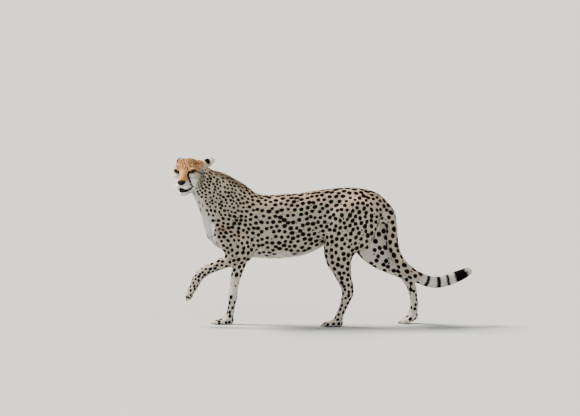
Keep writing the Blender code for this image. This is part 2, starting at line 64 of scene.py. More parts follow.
# ---------------------------------------------------------------- the lines of the body
# Not a piece: the lines that the limbs follow, as a taxidermist wires a manikin before anything goes on it.
# The lie of the coat, its length and the markings are all laid out along them.

head_turn = np.array(
    Matrix.Rotation(math.radians(69), 3, "Z")
    @ Matrix.Rotation(math.pi, 3, "Z")
    @ Matrix.Rotation(math.radians(6), 3, "Y")
)
nose_seat = (0.108, 0.0, -0.030)  # forward, left and up of the head's middle
head_middle = np.mean(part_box("nose"), axis=0) - head_turn @ np.array(nose_seat)
midline = head_middle[1] + 0.100


def on_head(forward, left, up):
    """A place given from the head's middle in the head's own directions."""
    return head_middle + head_turn @ np.array((forward, left, up))


def from_head(places):
    """Places in the head's own directions: columns forward, left and up."""
    return (places - head_middle) @ head_turn


def line_of(rows):
    """Rows of (x, y, z, radius) as a smooth line, two rows to a span, by cubic Hermite steps."""
    rows = np.array(rows, float)
    slope = np.gradient(rows, axis=0)
    half = (rows[:-1] + rows[1:]) / 2 + (slope[:-1] - slope[1:]) / 8
    made = np.empty((2 * len(rows) - 1, 4))
    made[0::2], made[1::2] = rows, half
    return made


limbs = {
    "head": line_of(
        [
            (*on_head(0.112, 0, -0.036), 0.030),
            (*on_head(0.070, 0, -0.022), 0.042),
            (*on_head(0.020, 0, -0.006), 0.062),
            (*on_head(-0.040, 0, 0.006), 0.066),
            (*on_head(-0.078, 0, 0.000), 0.060),
        ]
    )
}
middle = 1000 * midline
limb_rows = {  # x, y, z and radius in millimetres
    "neck": (
        (-647, -12, 782, 58), (-623, 10, 752, 72), (-577, 28, 708, 88), (-532, 38, 660, 104),
        (-493, middle, 610, 112),
    ),
    "trunk": (
        (-597, middle, 508, 66), (-491, middle, 527, 112), (-401, middle, 527, 128), (-311, middle, 518, 132),
        (-221, middle, 520, 133), (-121, middle, 533, 128), (-21, middle, 570, 110), (69, middle, 596, 102),
        (149, middle, 610, 100), (229, middle, 607, 92), (305, middle, 604, 66),
    ),
    "tail": (
        (293, 44, 636, 36), (347, 40, 570, 34), (359, 31, 500, 33), (367, 21, 430, 32), (381, 11, 372, 32),
        (411, 3, 322, 32), (455, -1, 282, 32), (509, 1, 250, 32), (569, 9, 230, 32), (625, 21, 230, 31),
        (679, 35, 246, 31), (731, 48, 267, 30), (778, 58, 289, 24),
    ),
    "foreleg_left": (
        (-407, -42, 470, 62), (-409, -46, 400, 50), (-465, -45, 356, 38), (-521, -41, 336, 31),
        (-575, -37, 312, 28), (-623, -33, 287, 28), (-655, -31, 256, 27), (-673, -30, 218, 27),
        (-691, -30, 160, 26),
    ),
    "foreleg_right": (
        (-407, 124, 470, 62), (-413, 124, 405, 46), (-427, 120, 360, 37), (-444, 112, 305, 33),
        (-459, 103, 250, 27), (-469, 95, 195, 24), (-474, 89, 150, 26), (-480, 87, 105, 23),
        (-489, 86, 60, 24), (-507, 85, 30, 26), (-567, 80, 14, 22),
    ),
    "hindleg_left": (
        (183, -24, 620, 74), (156, -31, 545, 78), (124, -37, 475, 74), (90, -41, 415, 64), (85, -43, 355, 52),
        (98, -43, 300, 41), (112, -42, 250, 32), (127, -40, 192, 28), (120, -39, 140, 25), (104, -38, 98, 23),
        (88, -37, 58, 24), (63, -37, 28, 26), (5, -40, 14, 22),
    ),
    "hindleg_right": (
        (205, 108, 620, 70), (236, 117, 545, 74), (244, 123, 480, 70), (264, 127, 418, 63),
        (304, 129, 362, 53), (350, 129, 320, 42), (394, 128, 287, 33), (433, 127, 258, 29),
        (459, 125, 215, 28), (475, 123, 160, 24), (481, 122, 100, 24), (471, 121, 52, 26), (413, 119, 16, 22),
    ),
}
limbs.update({name: line_of(np.array(rows, float) / 1000) for name, rows in limb_rows.items()})
limb_names = list(limbs)
legs = [name for name in limb_names if "leg" in name]
least_gap = 0.2  # in radii: inside it every place belongs alike


def unit(vectors):
    """Vectors made 1 long, in rows."""
    return vectors / np.linalg.norm(vectors, axis=-1, keepdims=True)


def along_limbs(places):
    """How places lie along the limbs: each limb's share in a place, how much of its length it has reached
    there, and the way the limbs run there.

    Per segment a place's foot is clip((p - a).(b - a) / |b - a|^2, 0, 1), and the segment that is nearest
    in its own radii counts. A limb's share is that gap to the power -5, over the sum of all limbs'.
    """
    shares, ways, gaps = [], [], []
    for line in limbs.values():
        best = np.full(len(places), np.inf)
        share, way = np.zeros(len(places)), np.zeros((len(places), 3))
        steps = np.linalg.norm(np.diff(line[:, :3], axis=0), axis=1)
        passed = np.concatenate([[0], np.cumsum(steps)]) / steps.sum()
        course = unit(np.gradient(line[:, :3], axis=0))
        for k in range(len(steps)):
            start, end = line[k], line[k + 1]
            run = end[:3] - start[:3]
            foot = np.clip((places - start[:3]) @ run / (run @ run), 0, 1)
            near = start[:3] + foot[:, None] * run
            gap = np.linalg.norm(places - near, axis=1) / (start[3] + foot * (end[3] - start[3]))
            closer = gap < best
            best[closer] = gap[closer]
            share[closer] = (passed[k] + foot * (passed[k + 1] - passed[k]))[closer]
            way[closer] = (course[k] + foot[:, None] * (course[k + 1] - course[k]))[closer]
        shares.append(share)
        ways.append(way)
        gaps.append(best)
    pull = np.maximum(gaps, least_gap) ** -5.0
    belong = pull / pull.sum(axis=0)
    way = sum(share[:, None] * run for share, run in zip(belong, ways))
    return dict(zip(limb_names, belong)), dict(zip(limb_names, shares)), way


def step(low, high, values):
    """0 below low, 1 above high and 3 t^2 - 2 t^3 between."""
    t = np.clip((values - low) / (high - low), 0, 1)
    return t * t * (3 - 2 * t)


# ---------------------------------------------------------------- the skin
# One supple hide over the whole animal, a coat's depth inside the outline. It is grown from the flesh of
# the CAD model: the solids are joined, remeshed across their cuts and relaxed, then the face is cut finer.

skin_grain = 0.0070
ear_swell = 0.0028  # an ear's leather is thinner than the grain, so it goes in thicker and comes out thinner
head_reach = 0.140  # inside this distance of the head's middle the skin is twice as fine
weld = 1e-5
relaxing, smoothing, lid_easing = 34, 3, 14  # rounds of softening: all over, where cut finer, round the lids


def down_legs(belong, reached, low, high):
    """0 above the share low of the legs' lengths and 1 beyond high, by each leg's share in a place."""
    return sum(belong[name] * step(low, high, reached[name]) for name in legs)


def mound(across, up, middle, half):
    """e to the power -((across - m) / h)^2 - ((up - m) / h)^2, with m and h the middle and half of each
    way."""
    return np.exp(-(((across - middle[0]) / half[0]) ** 2) - ((up - middle[1]) / half[1]) ** 2)


def magnified(places, undo=False):
    """Distance d from the head's middle becomes 2 d up to head_reach, d + head_reach beyond. undo undoes
    it."""
    away = places - head_middle
    d = np.maximum(np.linalg.norm(away, axis=1, keepdims=True), 1e-9)
    if undo:
        return head_middle + away * np.where(d < 2 * head_reach, 0.5, 1 - head_reach / d)
    return head_middle + away * np.where(d < head_reach, 2.0, 1 + head_reach / d)


def object_of(name, data):
    """An object in the scene that carries the data."""
    made = bpy.data.objects.new(name, data)
    bpy.context.scene.collection.objects.link(made)
    return made


def mesh_of(name, places, faces):
    """A mesh from an array of places and a list of faces."""
    mesh = bpy.data.meshes.new(name)
    mesh.from_pydata(places.tolist(), [], faces)
    return mesh


def values_of(items, key, columns=1):
    """One property of each point, edge, face or corner of a mesh, as numbers in rows of so many columns."""
    whole = key in ("vertices", "vertex_index", "edge_index", "loop_start", "loop_total")
    found = np.empty(columns * len(items), np.int32 if whole else np.float32)
    items.foreach_get(key, found)
    found = found if whole else found.astype(float)
    return found.reshape(-1, columns) if columns > 1 else found


def places_of(mesh):
    """Its points' places."""
    return values_of(mesh.vertices, "co", 3)


def normals_of(mesh):
    """Its points' outward ways."""
    return values_of(mesh.vertex_normals, "vector", 3)


def edges_of(mesh):
    """Its edges, as pairs of points."""
    return values_of(mesh.edges, "vertices", 2)


def reshape(mesh, places):
    """Moves the mesh's points to places."""
    mesh.vertices.foreach_set("co", places.astype(np.float32).ravel())
    mesh.update()


def worked(mesh, work):
    """Runs work on the mesh opened for editing, and keeps what it does."""
    shell = bmesh.new()
    shell.from_mesh(mesh)
    shell.verts.ensure_lookup_table()
    shell.edges.ensure_lookup_table()
    work(shell)
    shell.to_mesh(mesh)
    shell.free()


def grown_skin():
    """The flesh, eyes and nose as one closed surface, remeshed in the magnified space and turned back."""
    places, faces, start = [], [], 0
    for name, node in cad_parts.items():
        swell = ear_swell if name.startswith("ear") else 0.0
        places.append(magnified(places_of(node.data) + swell * normals_of(node.data)))
        corners = values_of(node.data.loops, "vertex_index")
        faces += (corners.reshape(-1, 3) + start).tolist()
        start += len(node.data.vertices)
    rough = object_of("rough", mesh_of("rough", np.vstack(places), faces))
    worked(rough.data, lambda shell: bmesh.ops.remove_doubles(shell, verts=shell.verts, dist=weld))
    remesh = rough.modifiers.new("remesh", "REMESH")
    remesh.mode = "VOXEL"
    remesh.voxel_size = skin_grain
    graph = bpy.context.evaluated_depsgraph_get()
    mesh = bpy.data.meshes.new_from_object(rough.evaluated_get(graph))
    bpy.data.objects.remove(rough)
    return mesh


def largest_shell(mesh):
    """Drops every loose shell but the one with most points: labels flow along edges until they settle."""
    edges = edges_of(mesh)
    label = np.arange(len(mesh.vertices))
    settled = False
    while not settled:
        least = label.copy()
        np.minimum.at(least, edges[:, 0], label[edges[:, 1]])
        np.minimum.at(least, edges[:, 1], label[edges[:, 0]])
        least = least[least]
        settled = bool((least == label).all())
        label = least
    loose = np.flatnonzero(label != np.bincount(label).argmax())
    worked(mesh, lambda shell: bmesh.ops.delete(shell, geom=[shell.verts[k] for k in loose], context="VERTS"))


def softened(values, edges, share, rounds):
    """Rounds of half a step towards the mean of a point's neighbours, weighed by share, then the same once
    more for what was lost, so that facets fade and limbs keep their thickness."""
    count = np.maximum(np.bincount(edges.ravel(), minlength=len(values)), 1)[:, None]

    def spread(field):
        for _ in range(rounds):
            total = np.stack(
                [
                    np.bincount(edges[:, 0], field[edges[:, 1], a], len(field))
                    + np.bincount(edges[:, 1], field[edges[:, 0], a], len(field))
                    for a in range(field.shape[1])
                ],
                axis=1,
            )
            field = field + 0.5 * share[:, None] * (total / count - field)
        return field

    once = spread(values)
    return once + spread(values - once)


skin_mesh = grown_skin()
skin_mesh.name = "skin"
largest_shell(skin_mesh)
flesh = magnified(places_of(skin_mesh), undo=True)
belong, reached, _ = along_limbs(flesh)
on_paws = sum(belong[name] * np.clip((reached[name] - 0.86) / 0.06, 0, 1) for name in legs)
on_body = belong["neck"] + belong["trunk"] + 0.75 * sum(belong[name] for name in legs)
forward, left, up = from_head(flesh).T
jowls = belong["head"] * step(0.052, 0.034, forward) * step(-0.020, -0.045, up)
ear_rims = 0.8 * step(0.078, 0.092, np.abs(left)) * belong["head"]
slack = np.clip(1.2 * on_body * (1 - 0.85 * on_paws) + 0.55 * belong["tail"] + 0.22 * belong["head"], 0, 1)
slack = np.maximum(slack, np.maximum(jowls, ear_rims))
reshape(skin_mesh, softened(flesh, edges_of(skin_mesh), slack, relaxing))


def cut_finer(mesh, wanted):
    """Quarters each face whose middle is wanted, a function of middles that gives True or False."""
    chosen = wanted(values_of(mesh.polygons, "center", 3))
    around = np.repeat(chosen, values_of(mesh.polygons, "loop_total"))
    rims = np.unique(values_of(mesh.loops, "edge_index")[around])

    def quarter(shell):
        edges = [shell.edges[k] for k in rims]
        bmesh.ops.subdivide_edges(shell, edges=edges, cuts=1, use_grid_fill=True)

    worked(mesh, quarter)


sides = {1: "left", -1: "right"}
eye_places = {side: np.mean(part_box("eye_" + name), axis=0) for side, name in sides.items()}


def in_face(middles):
    """True on the front of the head, from the crown to the chin."""
    forward, left, up = from_head(middles).T
    return (forward > 0.014) & (np.abs(left) < 0.075) & (up > -0.116) & (up < 0.056)


def round_eyes(middles):
    """True close round the eyes."""
    forward, left, up = from_head(middles).T
    return np.hypot(np.hypot(forward - 0.062, np.abs(left) - 0.045), up - 0.022) < 0.0215


paws = {  # ball of the foot, heading in degrees, drop of the toes in degrees
    "foreleg_left": ((-0.68036, -0.02973, 0.205), 4, 58),
    "foreleg_right": ((-0.50836, 0.08627, 0.016), 6, 4),
    "hindleg_left": ((0.06564, -0.03673, 0.016), 4, 4),
    "hindleg_right": ((0.46364, 0.12327, 0.030), 2, 24),
}


def paw_turn(name):
    """A foot's directions ahead, beside and up, as columns."""
    _, heading, drop = paws[name]
    turned = Matrix.Rotation(math.radians(heading), 3, "Z") @ Matrix.Rotation(-math.radians(drop), 3, "Y")
    return np.array(turned @ Matrix.Rotation(math.pi, 3, "Z"))


def on_toes(middles):
    """True on the toes of all four feet."""
    wanted = np.zeros(len(middles), bool)
    for name, (ball, _, _) in paws.items():
        ahead, beside, up = ((middles - ball) @ paw_turn(name)).T
        wanted |= (ahead > 0.014) & (ahead < 0.085) & (np.abs(beside) < 0.045) & (np.abs(up) < 0.030)
    return wanted


for wanted in (in_face, round_eyes, on_toes):
    cut_finer(skin_mesh, wanted)
    flesh = places_of(skin_mesh)
    reshape(skin_mesh, softened(flesh, edges_of(skin_mesh), 1.0 * wanted(flesh), smoothing))


def wobble(places, size, seed, width=1):
    """Smooth noise of about -1 to 1: seven sine waves of about size, in seeded directions, added up."""
    chance = np.random.default_rng(seed)
    total = np.zeros((len(places), width))
    for _ in range(7):
        way = chance.normal(size=3)
        way *= 2 * math.pi / (size * np.linalg.norm(way) * chance.uniform(0.7, 1.5))
        total += np.sin((places @ way)[:, None] + chance.uniform(0, 2 * math.pi, width))
    return total / 2.6


# The coat's depth: how far the skin lies inside the outline. It is deepest under the long hair of the nape,
# chest and belly, and least on the face and feet.

throat_way = np.array((-0.72, -0.10, -0.68))

# An ear is a broad cupped leaf. Each has its root, the way to its tip, the way its bowl faces and the way
# across it, all in the head's own directions.
ear_length, ear_half = 0.077, 0.029
ears = {}
for side, root, to_tip in (
    (1, (-0.036, 0.058, 0.038), (-0.047, 0.067, 0.037)),
    (-1, (-0.042, -0.041, 0.053), (-0.047, -0.067, 0.002)),
):
    along = unit(np.array(to_tip))
    bowl = np.array((-0.60, 0.0, -0.75))
    bowl = unit(bowl - along * (bowl @ along))
    ears[side] = (np.array(root), along, bowl, np.cross(bowl, along))


def on_ear(places, side):
    """A place's share of the way from an ear's root to tip, its height over the bowl and its offset
    across."""
    root, along, bowl, across = ears[side]
    off = from_head(places) - root
    return off @ along / ear_length, off @ bowl, off @ across


def zones(places, normals):
    """The lie of the coat, and shares of 0 to 1 of its zones: belly, breast, ruff (throat and chest),
    mantle (nape), brush (tail's end), jowl (corner of the jaw), ear, face, paw, leg."""
    belong, reached, way = along_limbs(places)
    ear = np.zeros(len(places))
    for side in ears:
        share, over, across = on_ear(places, side)
        inside = step(0.16, 0.34, share) * step(1.30, 1.15, share) * step(0.040, 0.034, np.abs(across))
        inside *= step(0.026, 0.019, np.abs(over))
        way = way + (1.5 * inside)[:, None] * (head_turn @ ears[side][1] - way)
        ear = np.maximum(ear, inside)
    way -= normals * (way * normals).sum(axis=1, keepdims=True)
    way /= np.maximum(np.linalg.norm(way, axis=1, keepdims=True), 1e-6)
    x, upward = places[:, 0], normals[:, 2]
    forward, left, up = from_head(places).T
    head, neck, trunk = belong["head"], belong["neck"], belong["trunk"]
    facing = normals @ np.array((1.0, 0, 0.35))
    front = step(-0.53, -0.60, x) * step(-0.45, -0.85, facing)
    breast = step(-0.49, -0.58, x) * step(-0.18, -0.62, facing)
    under = step(0.50, 0.88, normals @ throat_way)
    nape = step(0.25, 0.75, upward - 0.3 * normals[:, 0])
    jaw = step(0.040, 0.000, forward) * step(0.000, -0.050, up) * step(-0.070, -0.030, forward)
    return {
        "belong": belong,
        "reached": reached,
        "way": way,
        "belly": trunk * step(-0.50, -0.88, upward) * step(-0.52, -0.44, x) * step(0.26, 0.16, x),
        "breast": (trunk + neck) * breast * (1 - head),
        "ruff": np.clip(neck * under + (trunk + neck) * front, 0, 1),
        "mantle": np.clip(neck + 0.6 * trunk, 0, 1) * nape * step(-0.38, -0.45, x) * step(-0.62, -0.56, x),
        "brush": belong["tail"] * step(0.88, 0.98, reached["tail"]),
        "jowl": head * jaw,
        "ear": ear,
        "face": head * step(-0.010, 0.040, forward) * (1 - ear),
        "paw": down_legs(belong, reached, 0.82, 0.93),
        "leg": down_legs(belong, reached, 0.15, 0.35),
    }


def coat_depth(zone):
    """How far the skin lies inside the outline."""
    depth = 0.0026 - 0.0006 * zone["leg"] - 0.0008 * zone["paw"] + 0.0040 * zone["brush"]
    depth += 0.0060 * zone["belly"] + 0.0045 * zone["ruff"] + 0.0060 * zone["mantle"]
    head = zone["belong"]["head"]
    depth = depth * (1 - head) + head * (0.0024 + 0.0020 * zone["jowl"] - 0.0010 * zone["face"])
    return depth * (1 - 0.6 * zone["ear"])


flesh = places_of(skin_mesh)
outward = normals_of(skin_mesh)
depth = coat_depth(zones(flesh, outward))
toe_pitch, cleft_half, cleft_deep = 0.0184, 0.0034, 0.0038
for name, (ball, _, _) in paws.items():
    ahead, beside, up = ((flesh - ball) @ paw_turn(name)).T
    cleft = sum(np.exp(-(((beside - toe_pitch * k) / cleft_half) ** 2)) for k in (-1, 0, 1))
    cleft *= step(0.016, 0.032, ahead) * step(0.085, 0.080, ahead) * step(-0.016, -0.006, up)
    depth += cleft_deep * cleft * (np.abs(beside) < 0.05) * (np.abs(up) < 0.035)
reshape(skin_mesh, flesh - outward * depth[:, None])

# Lids, brow and muzzle: the folds of the face, pressed into the finer skin.

eyeball = 0.0165
lid_half = 0.0150  # half the opening, along it
upper_lid, lower_lid = 0.0066, 0.0058  # how far each lid opens in its middle
inner_sag = 0.0030  # how far the inner corner runs down towards the nose
lid_thick = 0.0012


def eye_axes(side):
    """Gaze, way from inner to outer corner, and way up, as rows."""
    gaze = unit(np.array((0.93, side * 0.35, 0.02)))
    outer = np.array((-0.36, side * 0.93, 0.20))
    outer = unit(outer - gaze * (outer @ gaze))
    up = np.cross(gaze, outer) * side
    return np.array((gaze, outer, up)) @ head_turn.T


def at_eye(places, side):
    """How far places lie from an eye's middle along its gaze, towards its outer corner and up."""
    return ((places - eye_places[side]) @ eye_axes(side).T).T


def lid_gap(across, up):
    """How far outside the eye's opening: up - h (1 - (across / half)^2)^0.75 for the upper lid, likewise
    for the lower one, so it is below 0 in the opening."""
    bow = np.maximum(1 - (across / lid_half) ** 2, 0) ** 0.75
    sag = inner_sag * step(-0.3, -1.0, across / lid_half)
    above = up + sag - upper_lid * bow
    below = -(up + sag) - lower_lid * bow
    return np.maximum(np.maximum(above, below), np.abs(across) - lid_half)


flesh = places_of(skin_mesh)
round_lids = np.zeros(len(flesh))
for side in sides:
    deep, across, up = at_eye(flesh, side)
    gap = lid_gap(across, up)
    flat = across**2 + up**2
    far = np.hypot(across / 1.2, up)
    inside = np.sqrt(np.maximum((eyeball - 0.0035) ** 2 - flat, 0))
    reach = np.minimum(np.sqrt(flat), 0.0135)
    lid = np.sqrt((eyeball + lid_thick) ** 2 - reach**2) - 0.75 * (np.sqrt(flat) - reach)
    front = step(-0.012, -0.002, deep) * (far < 0.03)
    hold = step(0.0210, 0.0105, far) * front
    target = np.where(gap < 0, inside, lid)
    moved = deep + np.where(gap < 0, front, hold) * (target - deep)
    brow = 0.0016 * mound(across, up, (0, 0.0160), (0.015, 0.006)) * front
    flesh += (moved - deep + brow)[:, None] * eye_axes(side)[0]
    round_lids = np.maximum(round_lids, step(0.0035, 0.0060, gap) * step(0.030, 0.024, far) * front)
flesh = softened(flesh, edges_of(skin_mesh), round_lids, lid_easing)

# The bridge rises a little to the nose pad, and the skin gives way behind the pad's face.
forward, left, up = from_head(flesh).T
bridge = mound(left, up, (0, -0.011), (0.015, 0.008)) * step(0.066, 0.088, forward)
over_pad = up + 0.0305
hollow = np.hypot(left / (0.0218 + 0.3 * over_pad), over_pad / 0.0134)
hollow = step(1.10, 0.84, hollow) * step(0.080, 0.092, forward)
flesh += (0.0022 * bridge - 0.0080 * hollow)[:, None] * head_turn[:, 0]
reshape(skin_mesh, flesh)

# ---------------------------------------------------------------- the markings
# The ground colours and the black of the coat, which skin and hair share: solid round spots, none too near
# another, bands on the tail's end, tear lines, black ear backs and a white underside. Faces that look up
# are painted a lighter tan than the sand below them, a painted sunlit top.


def paint_of(*parts):
    """A colour given by how it looks, as the renderer's linear light: each part to the power 2.2."""
    return np.array(parts) ** 2.2


# tan is a painted sunlit colour: the more a face looks up, the more tan it gets over the sand. It also tints
# the ear backs.
tan, sand, cream = paint_of(0.90, 0.79, 0.69), paint_of(0.79, 0.745, 0.68), paint_of(0.94, 0.92, 0.90)
rust, smoke, ash = paint_of(0.86, 0.64, 0.40), paint_of(0.42, 0.30, 0.20), paint_of(0.68, 0.65, 0.58)


def corners_of(mesh):
    """Each face's four corners, a triangle's last one twice, and its area."""
    start, count = (values_of(mesh.polygons, key) for key in ("loop_start", "loop_total"))
    points = values_of(mesh.loops, "vertex_index")
    corners = np.stack([points[start + np.minimum(k, count - 1)] for k in range(4)], axis=1)
    return corners, values_of(mesh.polygons, "area")


def sown(corners, area, crowd, seed):
    """Roots spread over faces: a face holds area x crowd of them on average. A root is the two-way mean of
    the corners by its shares a and b of the face. Gives places and unit normals."""
    chance = np.random.default_rng(seed)
    expected = area * crowd
    count = np.floor(expected + chance.random(len(area))).astype(int)
    face = np.repeat(np.arange(len(area)), count)
    a, b = chance.random((2, len(face), 1))
    weights = ((1 - a) * (1 - b), a * (1 - b), a * b, (1 - a) * b)
    places = sum(w * flesh[corners[face, k]] for k, w in enumerate(weights))
    normals = sum(w * outward[corners[face, k]] for k, w in enumerate(weights))
    return places, unit(normals)


def thrown(places, spacing, seed):
    """Indices of places in a seeded order, each kept if all kept before it are further than its spacing."""
    free, kept = np.ones(len(places), bool), []
    for k in np.random.default_rng(seed).permutation(len(places)):
        if free[k]:
            kept.append(k)
            free &= ((places - places[k]) ** 2).sum(axis=1) > spacing[k] ** 2
    return np.array(kept)


def nearest(places, spots):
    """Index of the nearest spot to each place and its distance, from |p|^2 - 2 p.s + |s|^2, in slices."""
    index, gap = [], []
    for part in np.array_split(places, max(len(places) // 3000, 1)):
        square = (part**2).sum(axis=1)[:, None] - 2 * part @ spots.T + (spots**2).sum(axis=1)
        index.append(square.argmin(axis=1))
        gap.append(np.sqrt(np.maximum(square.min(axis=1), 0)))
    return np.concatenate(index), np.concatenate(gap)


def evened(places, spots, rounds):
    """Moves each spot to the place nearest the mean of the places closest to it, so that gaps fill."""
    for _ in range(rounds):
        owner, _ = nearest(places, places[spots])
        many = np.maximum(np.bincount(owner, minlength=len(spots)), 1)
        means = np.stack([np.bincount(owner, places[:, a], len(spots)) / many for a in range(3)], axis=1)
        spots = np.unique(nearest(means, places)[0])
    return spots


def blended(zone, sizes, otherwise):
    """A value per place: each limb's size by its share, and otherwise where none is named."""
    return sum(share * sizes.get(name, otherwise) for name, share in zone["belong"].items())


def mixed(below, above, share):
    """Colours between two, by a share for each place."""
    return below + share[:, None] * (above - below)


def inner_sides(belong, normals):
    """Share of the inner sides of the legs."""
    return sum(belong[n] * step(0.15, 0.75, normals[:, 1] * (1 if "left" in n else -1)) for n in legs)


tail_length = np.linalg.norm(np.diff(limbs["tail"][:, :3], axis=0), axis=1).sum()
banded_reach = 0.285  # how far from its tip the tail has bands in place of spots
spot_gaps, body_gap = {"head": 0.0130, "neck": 0.0175, "tail": 0.0280}, 0.0240

flesh, outward = places_of(skin_mesh), normals_of(skin_mesh)
quads, quad_area = corners_of(skin_mesh)
near_head = np.linalg.norm(flesh[quads].mean(axis=1) - head_middle, axis=1) < 0.13
head_seats, body_seats = 160000.0, 30000.0  # to a square metre
seats, seat_out = sown(quads, quad_area, np.where(near_head, head_seats, body_seats), 4)
zone = zones(seats, seat_out)
belong, reached = zone["belong"], zone["reached"]
forward, left, up = from_head(seats).T
leg_end = down_legs(belong, reached, 0.40, 0.85)
fore = step(-0.25, -0.42, seats[:, 0])
spacing = blended(zone, spot_gaps, body_gap)
spacing *= (1 - 0.12 * fore) * (1 - 0.26 * leg_end)
spots = evened(seats, thrown(seats, spacing, 5), 2)
spots = spots[thrown(seats[spots], 0.86 * spacing[spots], 9)]
between = np.flatnonzero(nearest(seats, seats[spots])[1] > 0.80 * spacing)
small = between[thrown(seats[between], spacing[between] * 0.65, 6)][::2]

# Spots are few on the lowest belly, the throat and inside the legs, and none are on the face and ears.
inner = inner_sides(belong, seat_out)
lowest = belong["trunk"] * step(-0.60, -0.90, seat_out[:, 2])
masked = np.maximum(step(0.020, 0.036, forward), step(0.006, 0.026, up) * step(-0.066, -0.048, forward))
masked = belong["head"] * masked
banded = belong["tail"] * ((1 - reached["tail"]) * tail_length < banded_reach + 0.005)
few = 0.8 * lowest + 0.45 * zone["ruff"] + 0.45 * zone["breast"] + 0.38 * inner
few = np.clip(few + 2 * masked + zone["ear"] + 2 * banded, 0, 1)
chance = np.random.default_rng(11)
back = step(0.55, 0.9, seat_out[:, 2]) * belong["trunk"]
size = spacing * (1 - 0.26 * belong["head"]) * (1 + 0.15 * inner) * (1 - 0.25 * zone["mantle"])
spots = spots[chance.random(len(spots)) > few[spots]]
small = small[chance.random(len(small)) > few[small]]
radii = size[spots] * chance.uniform(0.365, 0.475, len(spots))
long_by = chance.uniform(1.0, 1.3, len(spots)) + 0.35 * back[spots]
spot_rows = [(spots, radii, long_by)]  # indices of seats, radii, length over width
spot_rows.append((small, size[small] * chance.uniform(0.12, 0.20, len(small)), np.full(len(small), 1.2)))

# The forehead's freckles lie in streaks. Two dots stand over each eye, and the whiskers' roots in three
# rows.
clear_of_eyes = np.minimum.reduce([np.linalg.norm(seats - centre, axis=1) for centre in eye_places.values()])
brow = (up > 0.014) & (forward > -0.055) & (np.abs(left) < 0.058) & (clear_of_eyes > 0.0235)
brow = np.flatnonzero(brow & (belong["head"] > 0.6) & (zone["ear"] < 0.1))
freckle_gap = 0.0082
freckles = brow[thrown(seats[brow], np.full(len(brow), freckle_gap), 7)]
high = step(0.015, 0.055, up[freckles])
radii = chance.uniform(0.0013, 0.0020, len(freckles)) + 0.0007 * high
spot_rows.append((freckles, radii, 1.5 + 1.1 * high))


def seat_at(forward, left, up):
    """The seat nearest to a place in the head's own directions."""
    return int(((seats - on_head(forward, left, up)) ** 2).sum(axis=1).argmin())


whisker_rows = ((-0.040, 3), (-0.047, 4), (-0.054, 3))  # how far up, how many
whisker_roots, dots = [], []
for side in sides:
    dots += [seat_at(0.056, side * 0.040, 0.046), seat_at(0.047, side * 0.050, 0.043)]
    for row, (rise, many) in enumerate(whisker_rows):
        for k in range(many):
            found = seat_at(0.108 - 0.0085 * k, side * (0.024 + 0.0065 * k), rise + 0.0012 * k)
            whisker_roots.append((side, row, k, seats[found], seat_out[found]))
            spot_rows.append((np.array([found]), np.array([0.0010]), np.array([1.0])))
spot_rows.append((np.array(dots), np.full(len(dots), 0.0026), np.full(len(dots), 1.2)))

spot_seat, spot_radius, spot_long = (np.concatenate(column) for column in zip(*spot_rows))
spot_place, spot_way = seats[spot_seat], zone["way"][spot_seat]
clear = -0.02  # the ink's depth well away from any marking
shake = 0.0009


def spotted(places):
    """How far inside the nearest spot's edge a place is, in metres: the most of radius - |offset|, the
    offset shortened along the lie of the coat by the spot's length, places first shaken so that no spot is
    a true circle."""
    shaken = places + shake * wobble(places, 0.016, 3, 3)
    depth = np.full(len(places), clear)
    order = np.argsort(shaken[:, 0])
    along_x = shaken[order, 0]
    reach = spot_radius * spot_long + 0.010
    firsts = np.searchsorted(along_x, spot_place[:, 0] - reach)
    lasts = np.searchsorted(along_x, spot_place[:, 0] + reach)
    spot_list = zip(spot_place, spot_way, spot_radius, spot_long, firsts, lasts)
    for place, way, radius, long, first, last in spot_list:
        near = order[first:last]
        off = shaken[near] - place
        off -= (off @ way)[:, None] * way * (1 - 1 / long)
        depth[near] = np.maximum(depth[near], radius - np.sqrt((off**2).sum(axis=1)))
    return depth


def line_gap(places, corners, widths, counts):
    """Distance to a line through corners, less its half width there: below 0 on the line. Columns are the
    head's own, and counts says how much each direction counts."""
    gap = np.full(len(places), 1.0)
    for a, b, wide, wider in zip(corners, corners[1:], widths, widths[1:]):
        a, b = np.array(a), np.array(b)
        run = (b - a) * np.square(counts)
        foot = np.clip((places - a) @ run / ((b - a) @ run), 0, 1)
        off = (places - a - foot[:, None] * (b - a)) * counts
        gap = np.minimum(gap, np.sqrt((off**2).sum(axis=1)) - (wide + foot * (wider - wide)))
    return gap


def on_face(corners):
    """Corners given by left and up only, with the forward that the skin has there."""
    found = from_head(seats[from_head(seats)[:, 0] > 0.02])
    return [tuple(found[np.square(found[:, 1:] - corner).sum(axis=1).argmin()]) for corner in corners]


tear_line = on_face([(0.031, 0.020), (0.025, 0.004), (0.028, -0.014), (0.035, -0.032), (0.040, -0.047)])
tear_line.append((0.056, 0.041, -0.057))
tear_width = [0.0050, 0.0042, 0.0040, 0.0044, 0.0052, 0.0050]
eye_streak = [(0.040, 0.056, 0.021), (0.018, 0.068, 0.008), (-0.008, 0.074, -0.006), (-0.030, 0.072, -0.016)]
streak_width = [0.0036, 0.0030, 0.0020, 0.0008]
lip_line = [(0.048, 0.041, -0.060), (0.085, 0.030, -0.069), (0.106, 0.012, -0.065), (0.108, 0.0, -0.061)]
lip_width = [0.0030, 0.0020, 0.0014, 0.0016]
chin_line = [(0.048, 0.040, -0.062), (0.080, 0.027, -0.077), (0.098, 0.0, -0.080)]
chin_width = [0.0032, 0.0032, 0.0026]
face_lines = (  # corners, half widths, and how much forward, left and up count
    (tear_line, tear_width, (0.50, 1.0, 1.0)),
    (eye_streak, streak_width, (1.0, 0.3, 1.0)),
    (lip_line, lip_width, (0.3, 1.0, 1.0)),
    (chin_line, chin_width, (0.3, 1.0, 1.0)),
)
tail_bands = ((0.067, 0.033), (0.139, 0.0075), (0.193, 0.011), (0.254, 0.009))  # before the tip, half width


